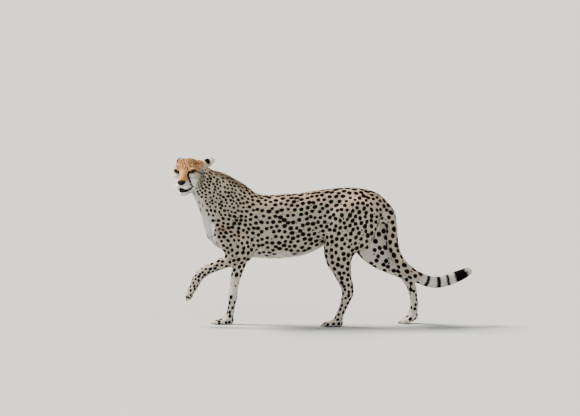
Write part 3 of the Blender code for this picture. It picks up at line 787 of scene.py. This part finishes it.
def markings(places, normals, zone):
    """Ground colour and depth of the black, in metres, of each place."""
    belong, reached = zone["belong"], zone["reached"]
    head, trunk, tail = belong["head"], belong["trunk"], belong["tail"]
    forward, left, up = from_head(places).T
    side = np.abs(left)
    cloud = wobble(places, 0.09, 21)[:, 0]
    fine = wobble(places, 0.012, 22)[:, 0]

    inner = inner_sides(belong, normals)
    low = trunk * step(-0.50, -0.92, normals[:, 2] + 0.12 * cloud)
    foot = down_legs(belong, reached, 0.40, 0.70)
    before = (1 - reached["tail"]) * tail_length
    tail_pale = tail * np.maximum(0.75 * step(0.32, 0.25, before), 0.55 * step(-0.2, -0.8, normals[:, 2]))
    throat = np.minimum(1.6 * zone["ruff"], 1)
    pale = np.maximum.reduce([0.9 * low, throat, 0.95 * zone["breast"], 0.6 * inner, 0.30 * foot, tail_pale])
    # The face: rust forehead and bridge, ash cheeks, white muzzle, chin, throat and patches round the eyes.
    # The temples get a little smoke, a painted shade.
    crown = step(0.010, 0.030, up + 0.25 * (forward - 0.04) + 0.0022 * fine) * step(0.088, 0.062, side)
    bridge = step(0.034, 0.021, side + 0.12 * np.abs(up + 0.01))
    bridge = bridge * step(-0.036, -0.022, up) * step(0.03, 0.06, forward)
    warm = np.maximum(crown, bridge) * step(-0.085, -0.020, forward)
    snow = step(0.002, -0.016, up - 0.3 * (forward - 0.085)) * step(0.018, 0.052, forward + 0.002 * fine)
    snow = np.maximum(snow * (1 - bridge), step(-0.060, -0.080, up))
    ahead = step(0.0, 0.03, forward)
    under_eye = mound(side, up, (0.047, -0.001), (0.014, 0.008)) * ahead
    over_eye = mound(side, up, (0.044, 0.039), (0.012, 0.0035)) * ahead
    ground = np.broadcast_to(sand, places.shape)
    for colour, share in (
        # Painted sunlit top: the tan share grows as the face looks up.
        (tan, step(0.05, 0.80, normals[:, 2] + 0.10 * cloud)),
        (cream, np.clip(pale + 0.05 * cloud, 0, 1)),
        (smoke, zone["mantle"] * np.clip(0.80 + 0.15 * cloud, 0, 1)),
        (ash, head * step(0.020, -0.004, up) * 0.85),
        (rust, head * warm * np.clip(0.88 + 0.12 * cloud, 0, 1)),
        # Painted shade: smoke darkens the sides of the head at eye height.
        (smoke, 0.30 * head * step(0.046, 0.070, side) * step(0.000, 0.025, up)),
        (smoke, head * step(0.026, 0.066, up) * np.clip(0.30 + 0.08 * fine, 0, 1)),
        (cream, head * np.clip(0.96 * snow + 0.75 * under_eye + 0.70 * over_eye, 0, 1)),
    ):
        ground = mixed(ground, colour, share)

    ink = spotted(places)
    stripes = np.max([half - np.abs(before - middle + 0.003 * cloud) for middle, half in tail_bands], axis=0)
    ink = np.where((tail > 0.5) & (before < banded_reach), stripes, ink)
    mirrored = np.stack([forward, side, up], axis=1)
    lines = [0.0004 * fine - line_gap(mirrored, *line) for line in face_lines]
    lines[0] = lines[0] - 0.02 * step(0.035, 0.020, forward)
    # Painted shade: the open mouth's gape is inked black as its dark hollow, which the skin does not have
    # there; its rim is the real black of the lips.
    gape = 0.008 * (1 - (side / 0.036) ** 2 - ((up + 0.0725) / 0.0090) ** 2)
    lines.append(np.where(forward > 0.045, gape, clear))
    for which in sides:
        deep, across, rise = at_eye(places, which)
        lines.append(np.where(deep > 0, 0.0046 - 0.0014 * (rise < 0) - lid_gap(across, rise), clear))
    ink = np.where(head > 0.5, np.maximum(ink, np.max(lines, axis=0)), ink)

    # The ears: pale bowls, tan backs crossed by a black patch, and white tips. The backs' tan is darkened
    # with smoke, a painted shade.
    for which in ears:
        share, over, across = on_ear(places, which)
        mine = zone["ear"] * (left * which > 0)
        behind = step(0.25, -0.25, normals @ (head_turn @ ears[which][2]))
        tip = step(0.62, 0.72, share + 0.02 * fine)
        # Ear backs: their own tan with three tenths of smoke mixed in as painted shade.
        shade = mixed(np.broadcast_to(cream, places.shape), 0.7 * tan + 0.3 * smoke, 0.9 * behind)
        shade = mixed(shade, cream, tip)
        ground = mixed(ground, shade, mine)
        blot = 0.0065 * (1 - ((share - 0.50) / 0.155) ** 2 - (across / (0.78 * ear_half)) ** 2)
        ink = np.where(mine > 0.5, np.where(behind > 0.5, blot + 0.0006 * fine, clear), ink)
    return np.clip(ground, 0, 1), ink


def put(mesh, name, values):
    """Keeps an array of numbers or colours as a point attribute of the mesh."""
    kind, key = ("FLOAT", "value") if values.ndim == 1 else ("FLOAT_COLOR", "color")
    if values.ndim > 1:
        values = np.hstack([values, np.ones((len(values), 1))])
    mesh.attributes.new(name, kind, "POINT").data.foreach_set(key, values.astype(np.float32).ravel())


skin_ground, skin_ink = markings(flesh, outward, zones(flesh, outward))
put(skin_mesh, "ground", skin_ground)
put(skin_mesh, "ink", skin_ink)
skin_mesh.shade_smooth()
skin = object_of("skin", skin_mesh)


def adder(tree):
    """A function that adds a node to the tree, with its inputs, each a value or the socket that feeds it."""

    def add(kind, sockets=(), **settings):
        node = tree.nodes.new("ShaderNode" + kind)
        for key, value in settings.items():
            setattr(node, key, value)
        for key, value in dict(sockets).items():
            if isinstance(value, bpy.types.NodeSocket):
                tree.links.new(value, node.inputs[key])
            else:
                node.inputs[key].default_value = value
        return node

    return add


def grained_group(name, defaults, detail):
    """A group with these inputs that lets cloudy noise out as Height. Gives the group, its adder, its
    inputs, its Colour to be fed, the noise less its middle, and the light: 1 + Contrast x that."""
    group = bpy.data.node_groups.new(name, "ShaderNodeTree")
    for title, value in defaults.items():
        kind = "NodeSocketFloat" if isinstance(value, float) else "NodeSocketColor"
        group.interface.new_socket(title, in_out="INPUT", socket_type=kind).default_value = value
    for title, kind in (("Colour", "NodeSocketColor"), ("Height", "NodeSocketFloat")):
        group.interface.new_socket(title, in_out="OUTPUT", socket_type=kind)
    given = group.nodes.new("NodeGroupInput").outputs
    made = group.nodes.new("NodeGroupOutput").inputs
    add = adder(group)
    place = add("TexCoord").outputs["Object"]
    noise = add("TexNoise", {"Vector": place, "Scale": given["Scale"], "Detail": detail}).outputs["Fac"]
    off = add("Math", {0: noise, 1: 0.5}, operation="SUBTRACT").outputs[0]
    light = add("Math", {0: off, 1: given["Contrast"], 2: 1.0}, operation="MULTIPLY_ADD").outputs[0]
    group.links.new(noise, made["Height"])
    return group, add, given, made["Colour"], off, light


def pelage_group():
    """Coat and skin: the ground colour with a streaky grain, black where the ink is deeper than nothing."""
    defaults = {"Scale": 900.0, "Ragged": 0.0024, "Contrast": 0.3}
    group, add, given, colour, off, light = grained_group("pelage", defaults, 3.0)
    ground = add("Attribute", attribute_name="ground").outputs["Color"]
    ink = add("Attribute", attribute_name="ink").outputs["Fac"]
    ragged = add("Math", {0: off, 1: given["Ragged"], 2: ink}, operation="MULTIPLY_ADD").outputs[0]
    bounds = {"Value": ragged, "From Min": -edge_soft, "From Max": edge_soft}
    edge = add("MapRange", bounds, interpolation_type="SMOOTHSTEP").outputs["Result"]
    shaded = add("Mix", {0: 1.0, 6: ground, 7: light}, data_type="RGBA", blend_type="MULTIPLY").outputs[2]
    inked = add("Mix", {0: edge, 6: shaded, 7: (*black, 1)}, data_type="RGBA").outputs[2]
    group.links.new(inked, colour)
    return group


def new_finish(name, roughness, specular, gloss):
    """A material, its adder and its shader; gloss is the weight of its wet coat."""
    made = bpy.data.materials.new(name)
    made.use_nodes = True
    shader = made.node_tree.nodes["Principled BSDF"]
    shader.inputs["Roughness"].default_value = roughness
    shader.inputs["Specular IOR Level"].default_value = specular
    shader.inputs["Coat Weight"].default_value = gloss
    return made, adder(made.node_tree), shader


def grained_finish(name, group, values, relief, roughness, specular, gloss):
    """A material of a grained group with its own values; relief is the depth of its grain."""
    made, add, shader = new_finish(name, roughness, specular, gloss)
    look = add("Group", (), node_tree=group)
    for key, value in values.items():
        look.inputs[key].default_value = value
    bump = add("Bump", {"Distance": relief, "Height": look.outputs["Height"]})
    made.node_tree.links.new(look.outputs["Colour"], shader.inputs["Base Color"])
    made.node_tree.links.new(bump.outputs["Normal"], shader.inputs["Normal"])
    return made


black = (0.0075, 0.0062, 0.0055)
edge_soft = 0.0007  # half the width over which a marking's edge fades
pelage = pelage_group()


def hide_finish(name, scale, ragged, contrast, roughness, relief):
    """A material of the pelage group."""
    values = {"Scale": scale, "Ragged": ragged, "Contrast": contrast}
    return grained_finish(name, pelage, values, relief, roughness, 0.15, 0.0)


skin_mesh.materials.append(hide_finish("skin hide", 420.0, 0.0016, 0.35, 0.8, 0.0012))
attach(skin, "root")
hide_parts(*[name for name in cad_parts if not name.startswith(("eye", "nose"))])

# ---------------------------------------------------------------- the coat
# Short, close guard hair all over, in flat tufts that lie from the nose to the tail and down the legs, and
# soft long hair on the nape, throat, chest and belly and at the tail's end. A short tuft is one thin spike
# with a ridge, a long one is bent at two rings. Each carries its root's colours.

patch = 0.003  # a tuft's share of its piece's unwrap
cover = 3.4  # how many times over the tufts would cover the skin
off_floor = 0.0002


def tuft_sizes(zone):
    """Length, width and lift, the rise of the tip per metre of length, of each root's tuft."""
    belong = zone["belong"]
    length = 0.0100 - 0.0020 * zone["leg"] - 0.0028 * zone["paw"] + 0.0020 * belong["neck"]
    head = belong["head"]
    length = length * (1 - head) + head * (0.0068 + 0.0060 * zone["jowl"] - 0.0030 * zone["face"])
    length = length * (1 - zone["ear"]) + 0.0042 * zone["ear"]
    width = 0.0006 + 0.105 * length
    long = 0.0110 * zone["belly"] + 0.0090 * zone["ruff"] + 0.0140 * zone["mantle"] + 0.0110 * zone["brush"]
    length = length + long
    width = width + 0.04 * long
    lift = 0.20 + 0.14 * zone["mantle"] + 0.08 * zone["ruff"] + 0.10 * zone["jowl"] - 0.02 * zone["face"]
    return length, width, lift


def about(line, places):
    """Unwrap round a limb's line: turn about it as a share of a full turn, and share of its length."""
    share = np.zeros(len(places))
    best = np.full(len(places), np.inf)
    around = np.zeros(len(places))
    for k in range(len(line) - 1):
        start, run = line[k, :3], line[k + 1, :3] - line[k, :3]
        foot = np.clip((places - start) @ run / (run @ run), 0, 1)
        off = places - start - foot[:, None] * run
        far = (off**2).sum(axis=1)
        run = unit(run)
        across = unit(np.cross(run, (0.0, 1.0, 0.02)))
        closer = far < best
        best[closer] = far[closer]
        share[closer] = ((k + foot) / (len(line) - 1))[closer]
        around[closer] = (np.arctan2(off @ np.cross(run, across), off @ across) / (2 * math.pi) + 0.5)[closer]
    return around, share


def bald(places, normals):
    """True in the eyes' openings, in the mouth, under the nose pad and on the soles, where no hair grows."""
    forward, left, up = from_head(places).T
    side = np.abs(left)
    none = (forward > 0.044) & (side < 0.040) & (up < -0.062) & (up > -0.083)
    none &= normals @ head_turn[:, 2] > -0.9
    none |= ((forward - 0.105) / 0.018) ** 2 + (side / 0.022) ** 2 + ((up + 0.030) / 0.0145) ** 2 < 1
    for which in sides:
        deep, across, rise = at_eye(places, which)
        none |= (deep > 0) & (np.abs(across) < 0.03) & (lid_gap(across, rise) < 0.0018)
    return none | ((places[:, 2] < 0.012) & (normals[:, 2] < -0.6))


def tuft_mesh(name, places, normals, ways, length, width, lift, rings, seed):
    """Tufts as one mesh. The spine runs from the root by length along the lie and by lift x length off the
    skin, bending back as s (1.3 - 0.3 s^2). Each ring is a flat triangle, two sides and a ridge, and the
    last point is the tip. Gives the mesh, its corners' places on a tuft's patch of the unwrap, and the
    points of one tuft."""
    chance = np.random.default_rng(seed)
    many = len(places)
    side = np.cross(normals, ways)
    turn = chance.normal(0, 0.15, (many, 1))
    ways = ways * np.cos(turn) + side * np.sin(turn)
    side = np.cross(normals, ways)
    length = (length * chance.uniform(0.72, 1.25, many))[:, None]
    width = (width * chance.uniform(0.8, 1.2, many))[:, None]
    lift = (lift * chance.uniform(0.55, 1.35, many))[:, None]
    sunk = 0.0001 + 0.05 * length
    rows = []
    for k in range(rings):
        s = k / rings
        spine = places + ways * length * s + normals * (length * lift * s * (1.3 - 0.3 * s * s) - sunk)
        wide = width * (0.5 if k else 0.42) * (1 - 0.25 * s)
        rows += [spine - side * wide, spine + side * wide, spine + normals * wide * 0.62]
    rows.append(places + ways * length + normals * (length * lift - sunk))
    points = np.stack(rows, axis=1)
    points[..., 2] = np.maximum(points[..., 2], off_floor)
    each = points.shape[1]
    faces = [(0, 1, 2)]
    for k in range(rings - 1):
        low, high = 3 * k, 3 * k + 3
        for i in range(3):
            j = (i + 1) % 3
            faces.append((low + j, low + i, high + i, high + j))
    low = 3 * (rings - 1)
    faces += [(low + (i + 1) % 3, low + i, each - 1) for i in range(3)]
    loop = np.concatenate([np.array(face) for face in faces])
    sizes = np.array([len(face) for face in faces])
    mesh = bpy.data.meshes.new(name)
    mesh.vertices.add(many * each)
    mesh.vertices.foreach_set("co", points.astype(np.float32).ravel())
    mesh.loops.add(many * len(loop))
    corner = (np.arange(many)[:, None] * each + loop).ravel()
    mesh.loops.foreach_set("vertex_index", corner.astype(np.int32))
    mesh.polygons.add(many * len(faces))
    starts = np.concatenate([[0], np.cumsum(np.tile(sizes, many))[:-1]])
    mesh.polygons.foreach_set("loop_start", starts.astype(np.int32))
    mesh.update(calc_edges=True)
    mesh.shade_smooth()
    spread = np.array([(i % 3 / 2, (i // 3) / rings) for i in range(each - 1)] + [(0.5, 1.0)])
    return mesh, spread[loop], each


def coat_piece(name, chosen, line, seed, most, rings=1):
    """One piece of the coat: at most so many tufts sown on the chosen faces, with their colours and
    unwrap."""
    corners, area = quads[chosen], quad_area[chosen]
    length, width, _ = (values[chosen] for values in quad_sizes)
    crowd = 1.0 / (length * width)
    crowd *= min(cover, most / (area * crowd).sum())
    places, normals = sown(corners, area, crowd, seed)
    haired = ~bald(places, normals)
    places, normals = places[haired], normals[haired]
    zone = zones(places, normals)
    length, width, lift = tuft_sizes(zone)
    ground, ink = markings(places + zone["way"] * (0.5 * length)[:, None], normals, zone)
    mesh, spread, each = tuft_mesh(name, places, normals, zone["way"], length, width, lift, rings, seed)
    shade = np.random.default_rng(seed + 1).uniform(0.86, 1.12, (len(places), 1))
    put(mesh, "ground", np.repeat(np.clip(ground * shade, 0, 1), each, axis=0))
    put(mesh, "ink", np.repeat(ink, each))
    home = np.stack(about(line, places), axis=1) * (1 - 2 * patch)
    unwrap = mesh.uv_layers.new(name="OFBake")
    homes = (home[:, None, :] + patch * spread[None]).reshape(-1, 2)
    unwrap.uv.foreach_set("vector", homes.astype(np.float32).ravel())
    mesh.materials.append(coat_finish)
    piece = object_of(name, mesh)
    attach(piece, "root")


coat_finish = hide_finish("coat hair", 900.0, 0.0020, 0.30, 0.75, 0.0002)
quad_middle = flesh[quads].mean(axis=1)
quad_out = unit(outward[quads].mean(axis=1))
quad_zone = zones(quad_middle, quad_out)
quad_sizes = tuft_sizes(quad_zone)
owner = np.argmax(np.stack([quad_zone["belong"][name] for name in limb_names]), axis=0)
long_hair = np.maximum.reduce([quad_zone[name] for name in ("belly", "ruff", "mantle", "brush")]) > 0.35
short = {name: (owner == k) & ~long_hair for k, name in enumerate(limb_names)}
right_side = quad_middle[:, 1] > midline
fore_end = np.isin(owner, [limb_names.index(name) for name in ("neck", "head")])

coat_piece("coat_head", short["head"], limbs["head"], 100, 47000)
coat_piece("coat_neck", short["neck"], limbs["neck"], 110, 40000)
coat_piece("coat_flank_left", short["trunk"] & ~right_side, limbs["trunk"], 120, 47000)
coat_piece("coat_flank_right", short["trunk"] & right_side, limbs["trunk"], 130, 47000)
for k, name in enumerate(legs):
    coat_piece("coat_" + name, short[name], limbs[name], 140 + 10 * k, 46000)
coat_piece("coat_tail", short["tail"], limbs["tail"], 190, 30000)
coat_piece("coat_long_fore", long_hair & fore_end, limbs["neck"], 200, 11500, 3)
coat_piece("coat_long_under", long_hair & ~fore_end, limbs["trunk"], 210, 11500, 3)

# ---------------------------------------------------------------- the eyes
# A glassy ball in each socket: a round black pupil in an amber iris, dark round its rim, under a clear
# bulging cornea. A black rim of bare skin, thick as a cord, edges both lids and closes them on the ball.


def grid_mesh(name, places, material, closed_across=True):
    """A piece from an array of rows x columns x 3, or of many alike x rows x columns x 3. closed_across
    joins the last column to the first, and fans at their means close the first and last rows."""
    if places.ndim == 3:
        places = places[None]
    many, rows, columns = places.shape[:3]
    r, c = np.meshgrid(np.arange(rows - 1), np.arange(columns - (not closed_across)), indexing="ij")
    after = (c + 1) % columns
    low, high = r * columns, (r + 1) * columns
    faces = np.stack([low + c, low + after, high + after, high + c], axis=-1).reshape(-1, 4).tolist()
    points = places.reshape(many, -1, 3)
    if closed_across:
        points = np.concatenate([points, places[:, :1].mean(axis=2), places[:, -1:].mean(axis=2)], axis=1)
        top, bottom, last = rows * columns, rows * columns + 1, (rows - 1) * columns
        for k in range(columns):
            faces.append([top, (k + 1) % columns, k])
            faces.append([bottom, last + k, last + (k + 1) % columns])
    each = points.shape[1]
    every = [[corner + k * each for corner in face] for k in range(many) for face in faces]
    made = object_of(name, mesh_of(name, points.reshape(-1, 3), every))

    def closed(shell):
        bmesh.ops.remove_doubles(shell, verts=shell.verts, dist=1e-6)
        bmesh.ops.recalc_face_normals(shell, faces=shell.faces)

    worked(made.data, closed)
    made.data.shade_smooth()
    made.data.materials.append(material)
    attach(made, "root")
    return made


def round_grid(rows, columns, short_of):
    """Places of a ball of radius 1 in rows from pole to pole, which stop short of the poles by an angle."""
    turn = 2 * math.pi * np.arange(columns) / columns
    down, turn = np.meshgrid(np.linspace(short_of, math.pi - short_of, rows), turn, indexing="ij")
    return np.stack([np.sin(down) * np.cos(turn), np.sin(down) * np.sin(turn), np.cos(down)], axis=-1)


def rings_along(path, radii, closed=False, sides=10):
    """Rings of a round tube square to path, each at its radius, as an array of rows x sides x 3."""
    path = np.array(path)
    radii = np.broadcast_to(radii, len(path))
    course = unit((np.roll(path, -1, 0) - np.roll(path, 1, 0)) if closed else np.gradient(path, axis=0))
    up = unit(np.cross(course, (0.31, 0.22, 0.92)))
    across = np.cross(course, up)
    turn = 2 * math.pi * np.arange(sides) / sides
    ring = np.cos(turn)[None, :, None] * up[:, None] + np.sin(turn)[None, :, None] * across[:, None]
    return path[:, None] + ring * radii[:, None, None]


def mottle_group():
    """Bare skin, horn and floor: a colour shaded by cloudy noise, and the noise as a height."""
    defaults = {"Colour": (0.5, 0.5, 0.5, 1), "Scale": 200.0, "Contrast": 0.4}
    group, add, given, colour, _, light = grained_group("mottle", defaults, 4.0)
    sockets = {0: 1.0, 6: given["Colour"], 7: light}
    group.links.new(add("Mix", sockets, data_type="RGBA", blend_type="MULTIPLY").outputs[2], colour)
    return group


mottle = mottle_group()


def bare_finish(name, colour, scale, contrast, relief, roughness, gloss=0.0):
    """A material of the mottle group."""
    values = {"Colour": (*colour, 1), "Scale": scale, "Contrast": contrast}
    return grained_finish(name, mottle, values, relief, roughness, 0.2, gloss)


def eye_finish():
    """Rings by the angle from the gaze: pupil, olive amber iris with rays, dark rim, brownish white. The iris
    and white are darker than their own colours, a painted shade of the brow.
    """
    made, add, shader = new_finish("eye", 0.3, 0.1, 0.22)
    shader.inputs["Coat Roughness"].default_value = 0.03
    polar = add("Attribute", attribute_name="polar").outputs["Fac"]
    rays = add("TexNoise", {"Vector": add("TexCoord").outputs["Object"], "Scale": 900.0}).outputs["Fac"]
    shaken = add("Math", {0: rays, 1: 0.06, 2: polar}, operation="MULTIPLY_ADD").outputs[0]
    ramp = add("ValToRGB", {"Fac": shaken})
    # Painted shade: the iris and the white are kept dark, as if shaded by the brow.
    stops = (
        (0.265, (0.003, 0.003, 0.002)),
        (0.300, (0.095, 0.058, 0.015)),
        (0.43, (0.200, 0.120, 0.030)),
        (0.54, (0.085, 0.050, 0.014)),
        (0.63, (0.012, 0.008, 0.005)),
        (0.80, (0.030, 0.020, 0.015)),
    )
    band = ramp.color_ramp
    while len(band.elements) < len(stops):
        band.elements.new(0.5)
    for element, (angle, colour) in zip(band.elements, stops):
        element.position, element.color = angle, (*colour, 1)
    made.node_tree.links.new(ramp.outputs["Color"], shader.inputs["Base Color"])
    return made


eye_glass = eye_finish()
black_skin = bare_finish("black skin", (0.008, 0.006, 0.006), 700.0, 0.8, 0.0004, 0.5, 0.05)
cornea_rise, cornea_half = 0.055, 0.42  # of the ball's radius, and the angle over which the cornea bulges
rim_thick = 0.0019
for side, name in sides.items():
    gaze, outer, up = eye_axes(side)
    polar = np.linspace(0.02, math.pi - 0.02, 40)
    turn = 2 * math.pi * np.arange(48) / 48
    far = eyeball * (1 + cornea_rise * np.exp(-((polar / cornea_half) ** 2)))
    ring = np.cos(turn)[:, None] * outer + np.sin(turn)[:, None] * up
    ball = (far * np.cos(polar))[:, None, None] * gaze + (far * np.sin(polar))[:, None, None] * ring[None]
    eye = grid_mesh("eyeball_" + name, eye_places[side] + ball, eye_glass)
    away = unit(places_of(eye.data) - eye_places[side])
    put(eye.data, "polar", np.arccos(np.clip(away @ gaze, -1, 1)))
    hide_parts("eye_" + name)
    t = 2 * math.pi * np.arange(64) / 64
    across = lid_half * np.cos(t)
    bow = np.abs(np.sin(t)) ** 1.5
    rise = np.where(np.sin(t) > 0, upper_lid, -lower_lid) * bow - inner_sag * step(-0.3, -1.0, np.cos(t))
    deep = np.sqrt((eyeball + 0.0004) ** 2 - across**2 - rise**2)
    rim = eye_places[side] + deep[:, None] * gaze + across[:, None] * outer + rise[:, None] * up
    rings = rings_along(rim, rim_thick, closed=True)
    rings = np.swapaxes(np.concatenate([rings, rings[:1]]), 0, 1)
    rings = np.concatenate([rings, rings[:1]])
    grid_mesh("eyelid_" + name, rings, black_skin, closed_across=False)

# ---------------------------------------------------------------- the nose
# A pad of bare black leather, wider above, with a nostril opening to each side and a groove down its
# middle. It is set in a hollow of the skin at the end of the bridge.

nose_half = np.array((0.0125, 0.0212, 0.0132))
nose_set = np.array((0.1065, 0.0, -0.0305))
ball = round_grid(60, 96, 0.04)
ball = np.sign(ball) * np.abs(ball) ** 0.86  # a little square
pad = ball * nose_half
pad[..., 1] *= 1 + 0.26 * ball[..., 2]
front = step(-0.2, 0.2, ball[..., 0])
nostril = mound(np.abs(pad[..., 1]), pad[..., 2], (0.0120, -0.0015), (0.0040, 0.0034)) * front
groove = np.exp(-((pad[..., 1] / 0.0018) ** 2)) * step(0.002, -0.004, pad[..., 2]) * front
pad[..., 0] -= 0.0065 * nostril + 0.0012 * groove
nose_leather = bare_finish("nose leather", (0.016, 0.012, 0.012), 1100.0, 0.9, 0.0008, 0.5, 0.10)
nose = grid_mesh("nose_pad", head_middle + (pad + nose_set) @ head_turn.T, nose_leather)
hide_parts("nose")

# ---------------------------------------------------------------- the mouth
# Black bare lips, rolled along the muzzle's edge and the lower jaw, meet at the corners of the open mouth,
# and a dark split runs up to the nose. The tip of a pink-grey tongue shows between them.


def on_skin(places):
    """The nearest places on the skin, with its normals there."""
    found = [skin.closest_point_on_mesh(place)[1:3] for place in places.tolist()]
    return np.array([hit for hit, _ in found]), np.array([normal for _, normal in found])


def lip(corners, thick):
    """Rings of a lip: the line through corners and their mirror images, laid on the skin, with thin ends."""
    half = [(*corner, 1.0) for corner in corners]
    mirrored = [(f, -l, u, r) for f, l, u, r in half[-2::-1]]
    path = line_of(line_of(line_of(half + mirrored)))[:, :3]
    places, normals = on_skin(head_middle + path @ head_turn.T)
    for _ in range(4):
        places[1:-1] = (places[:-2] + 2 * places[1:-1] + places[2:]) / 4
    thin = np.sin(math.pi * np.linspace(0.06, 0.94, len(places))) ** 0.35
    return rings_along(places + 0.0004 * normals, thick * thin)


upper_lip = [(0.050, 0.041, -0.058), (0.085, 0.028, -0.068), (0.107, 0.012, -0.064), (0.109, 0.0, -0.060)]
lower_lip = [(0.050, 0.040, -0.061), (0.080, 0.027, -0.077), (0.094, 0.012, -0.080), (0.097, 0.0, -0.080)]
grid_mesh("lip_upper", lip(upper_lip, 0.0018), black_skin)
grid_mesh("lip_lower", lip(lower_lip, 0.0028), black_skin)
split = np.linspace((0.1165, 0, -0.041), (0.108, 0, -0.061), 12)
split, normals = on_skin(head_middle + split @ head_turn.T)
grid_mesh("lip_split", rings_along(split + 0.0002 * normals, 0.0011), black_skin)

tongue_half = np.array((0.024, 0.0150, 0.0045))
ball = round_grid(20, 32, 0.04)
tongue = ball * tongue_half
tongue[..., 2] -= 0.0016 * np.exp(-((tongue[..., 1] / 0.004) ** 2)) * (ball[..., 2] > 0)  # its furrow
tongue_skin = bare_finish("tongue skin", (0.30, 0.145, 0.13), 900.0, 0.7, 0.0008, 0.45, 0.2)
tongue = head_middle + (tongue + np.array((0.0750, 0.0, -0.0738))) @ head_turn.T
grid_mesh("tongue", tongue, tongue_skin)

# ---------------------------------------------------------------- claws and pads
# Blunt dark claws of horn, four to a foot and always half bare, and the leather pads that the toes and the
# sole of each foot stand on.

claws, pads = [], []
cushion = round_grid(12, 18, 0.05)
paw_long, paw_broad = 0.076, 0.072
toes = ((-0.375, 0.50), (-0.135, 0.68), (0.135, 0.68), (0.375, 0.50))  # beside and ahead, as shares of those
toe_pad, sole_pad = (0.0095, 0.0075, 0.0040), (0.0170, 0.0190, 0.0050)  # half sizes ahead, beside and up
for name, (ball, _, _) in paws.items():
    turned = paw_turn(name)
    middles = np.array([(paw_long * ahead, paw_broad * beside, -0.004) for beside, ahead in toes])
    bend = np.linspace(0, 1, 9)
    curve = np.stack([0.0165 + 0.0115 * np.sin(1.45 * bend), 0 * bend, 0.001 - 0.0095 * bend**1.8], axis=1)
    thick = 0.0021 * (1 - bend) ** 0.6 + 0.0003
    for middle in middles:
        path = np.array(ball) + (middle + curve) @ turned.T
        path[:, 2] = np.maximum(path[:, 2], 0.0026)  # clear of the floor by a claw's thickness
        claws.append(rings_along(path, thick, sides=8))
    under = [(middle + (0.004, 0, -0.0125), toe_pad) for middle in middles]
    under.append((np.array((0.006, 0.0, -0.0155)), sole_pad))
    for middle, half in under:
        places = np.array(ball) + (middle + cushion * half) @ turned.T
        places[..., 2] = np.maximum(places[..., 2], 0.0003)
        pads.append(places)
horn = bare_finish("claw horn", (0.055, 0.042, 0.034), 500.0, 0.9, 0.0003, 0.35, 0.2)
pad_skin = bare_finish("pad leather", (0.030, 0.024, 0.022), 420.0, 0.9, 0.0010, 0.65)
grid_mesh("claws", np.array(claws), horn)
grid_mesh("paw_pads", np.array(pads), pad_skin)

# ---------------------------------------------------------------- the whiskers
# Stiff white hairs that taper to their tips, from three rows of dark roots on each side of the muzzle. They
# are swept out, back and a little down.

whiskers = []
chance = np.random.default_rng(40)
for side, row, k, root, normal in whisker_roots:
    length = 0.046 + 0.007 * k + 0.004 * chance.random()
    aim = np.array((-0.28 - 0.16 * k, side * 1.0, 0.16 - 0.26 * row + 0.1 * chance.normal()))
    aim = head_turn @ unit(aim)
    t = np.linspace(0, 1, 8)[:, None]
    bent = head_turn @ np.array((-0.35, side * -0.10, -0.22))
    path = root - 0.0015 * normal + length * (t * (0.75 * aim + 0.25 * normal) + 0.5 * t**2 * bent)
    whiskers.append(rings_along(path, 0.00042 * (1 - 0.75 * t[:, 0]), sides=5))
white_hair = bare_finish("whisker hair", (0.78, 0.76, 0.72), 300.0, 0.3, 0.0001, 0.4)
grid_mesh("whiskers", np.array(whiskers), white_hair)

# ---------------------------------------------------------------- floor, light and camera
# A plain pale studio floor, a broad warm light from high behind the shoulder, a weak cool one from the
# front, and a long lens from the animal's left.

bpy.ops.mesh.primitive_plane_add(size=240, location=(0, 60, 0))
floor = bpy.context.object
floor.name = "floor"
floor.data.materials.append(bare_finish("pale floor", (0.50, 0.50, 0.475), 3.0, 0.10, 0.0005, 0.9))


def soft_sun(name, way, power, breadth, colour):
    """A sun lamp that shines along way; breadth is its angle, which softens its shadows."""
    light = bpy.data.lights.new(name, "SUN")
    light.energy, light.angle, light.color = power, breadth, colour
    object_of(name, light).rotation_euler = Vector(way).to_track_quat("-Z", "Y").to_euler()


soft_sun("key", (0.66, -0.26, -0.78), 5.6, math.radians(25), (1.0, 0.955, 0.89))
soft_sun("fill", (-0.25, 0.90, -0.35), 0.7, math.radians(60), (0.90, 0.95, 1.0))
world = bpy.data.worlds.new("studio")
bpy.context.scene.world = world
world.use_nodes = True
sky = world.node_tree.nodes["Background"].inputs
sky["Color"].default_value, sky["Strength"].default_value = (0.80, 0.85, 0.92, 1), 0.38

low, high = (np.array(corner) for corner in cad_box)
aim = ((low[0] + high[0]) / 2 - 0.1729, midline, (low[2] + high[2]) / 2 + 0.1733)
tilt = math.radians(4.5)
far, seen = 27.0, 3.045  # how far off the camera stands, and how wide a stretch it takes in there
lens = bpy.data.cameras.new("camera")
lens.sensor_width, lens.lens, lens.clip_end = 36, 36 * far / seen, 300
camera = object_of("camera", lens)
camera.location = (aim[0], aim[1] - far * math.cos(tilt), aim[2] + far * math.sin(tilt))
camera.rotation_euler = (math.pi / 2 - tilt, 0, 0)
bpy.context.scene.camera = camera
bpy.context.scene.view_settings.look = "AgX - Medium High Contrast"
bpy.context.scene.view_settings.exposure = 0.35
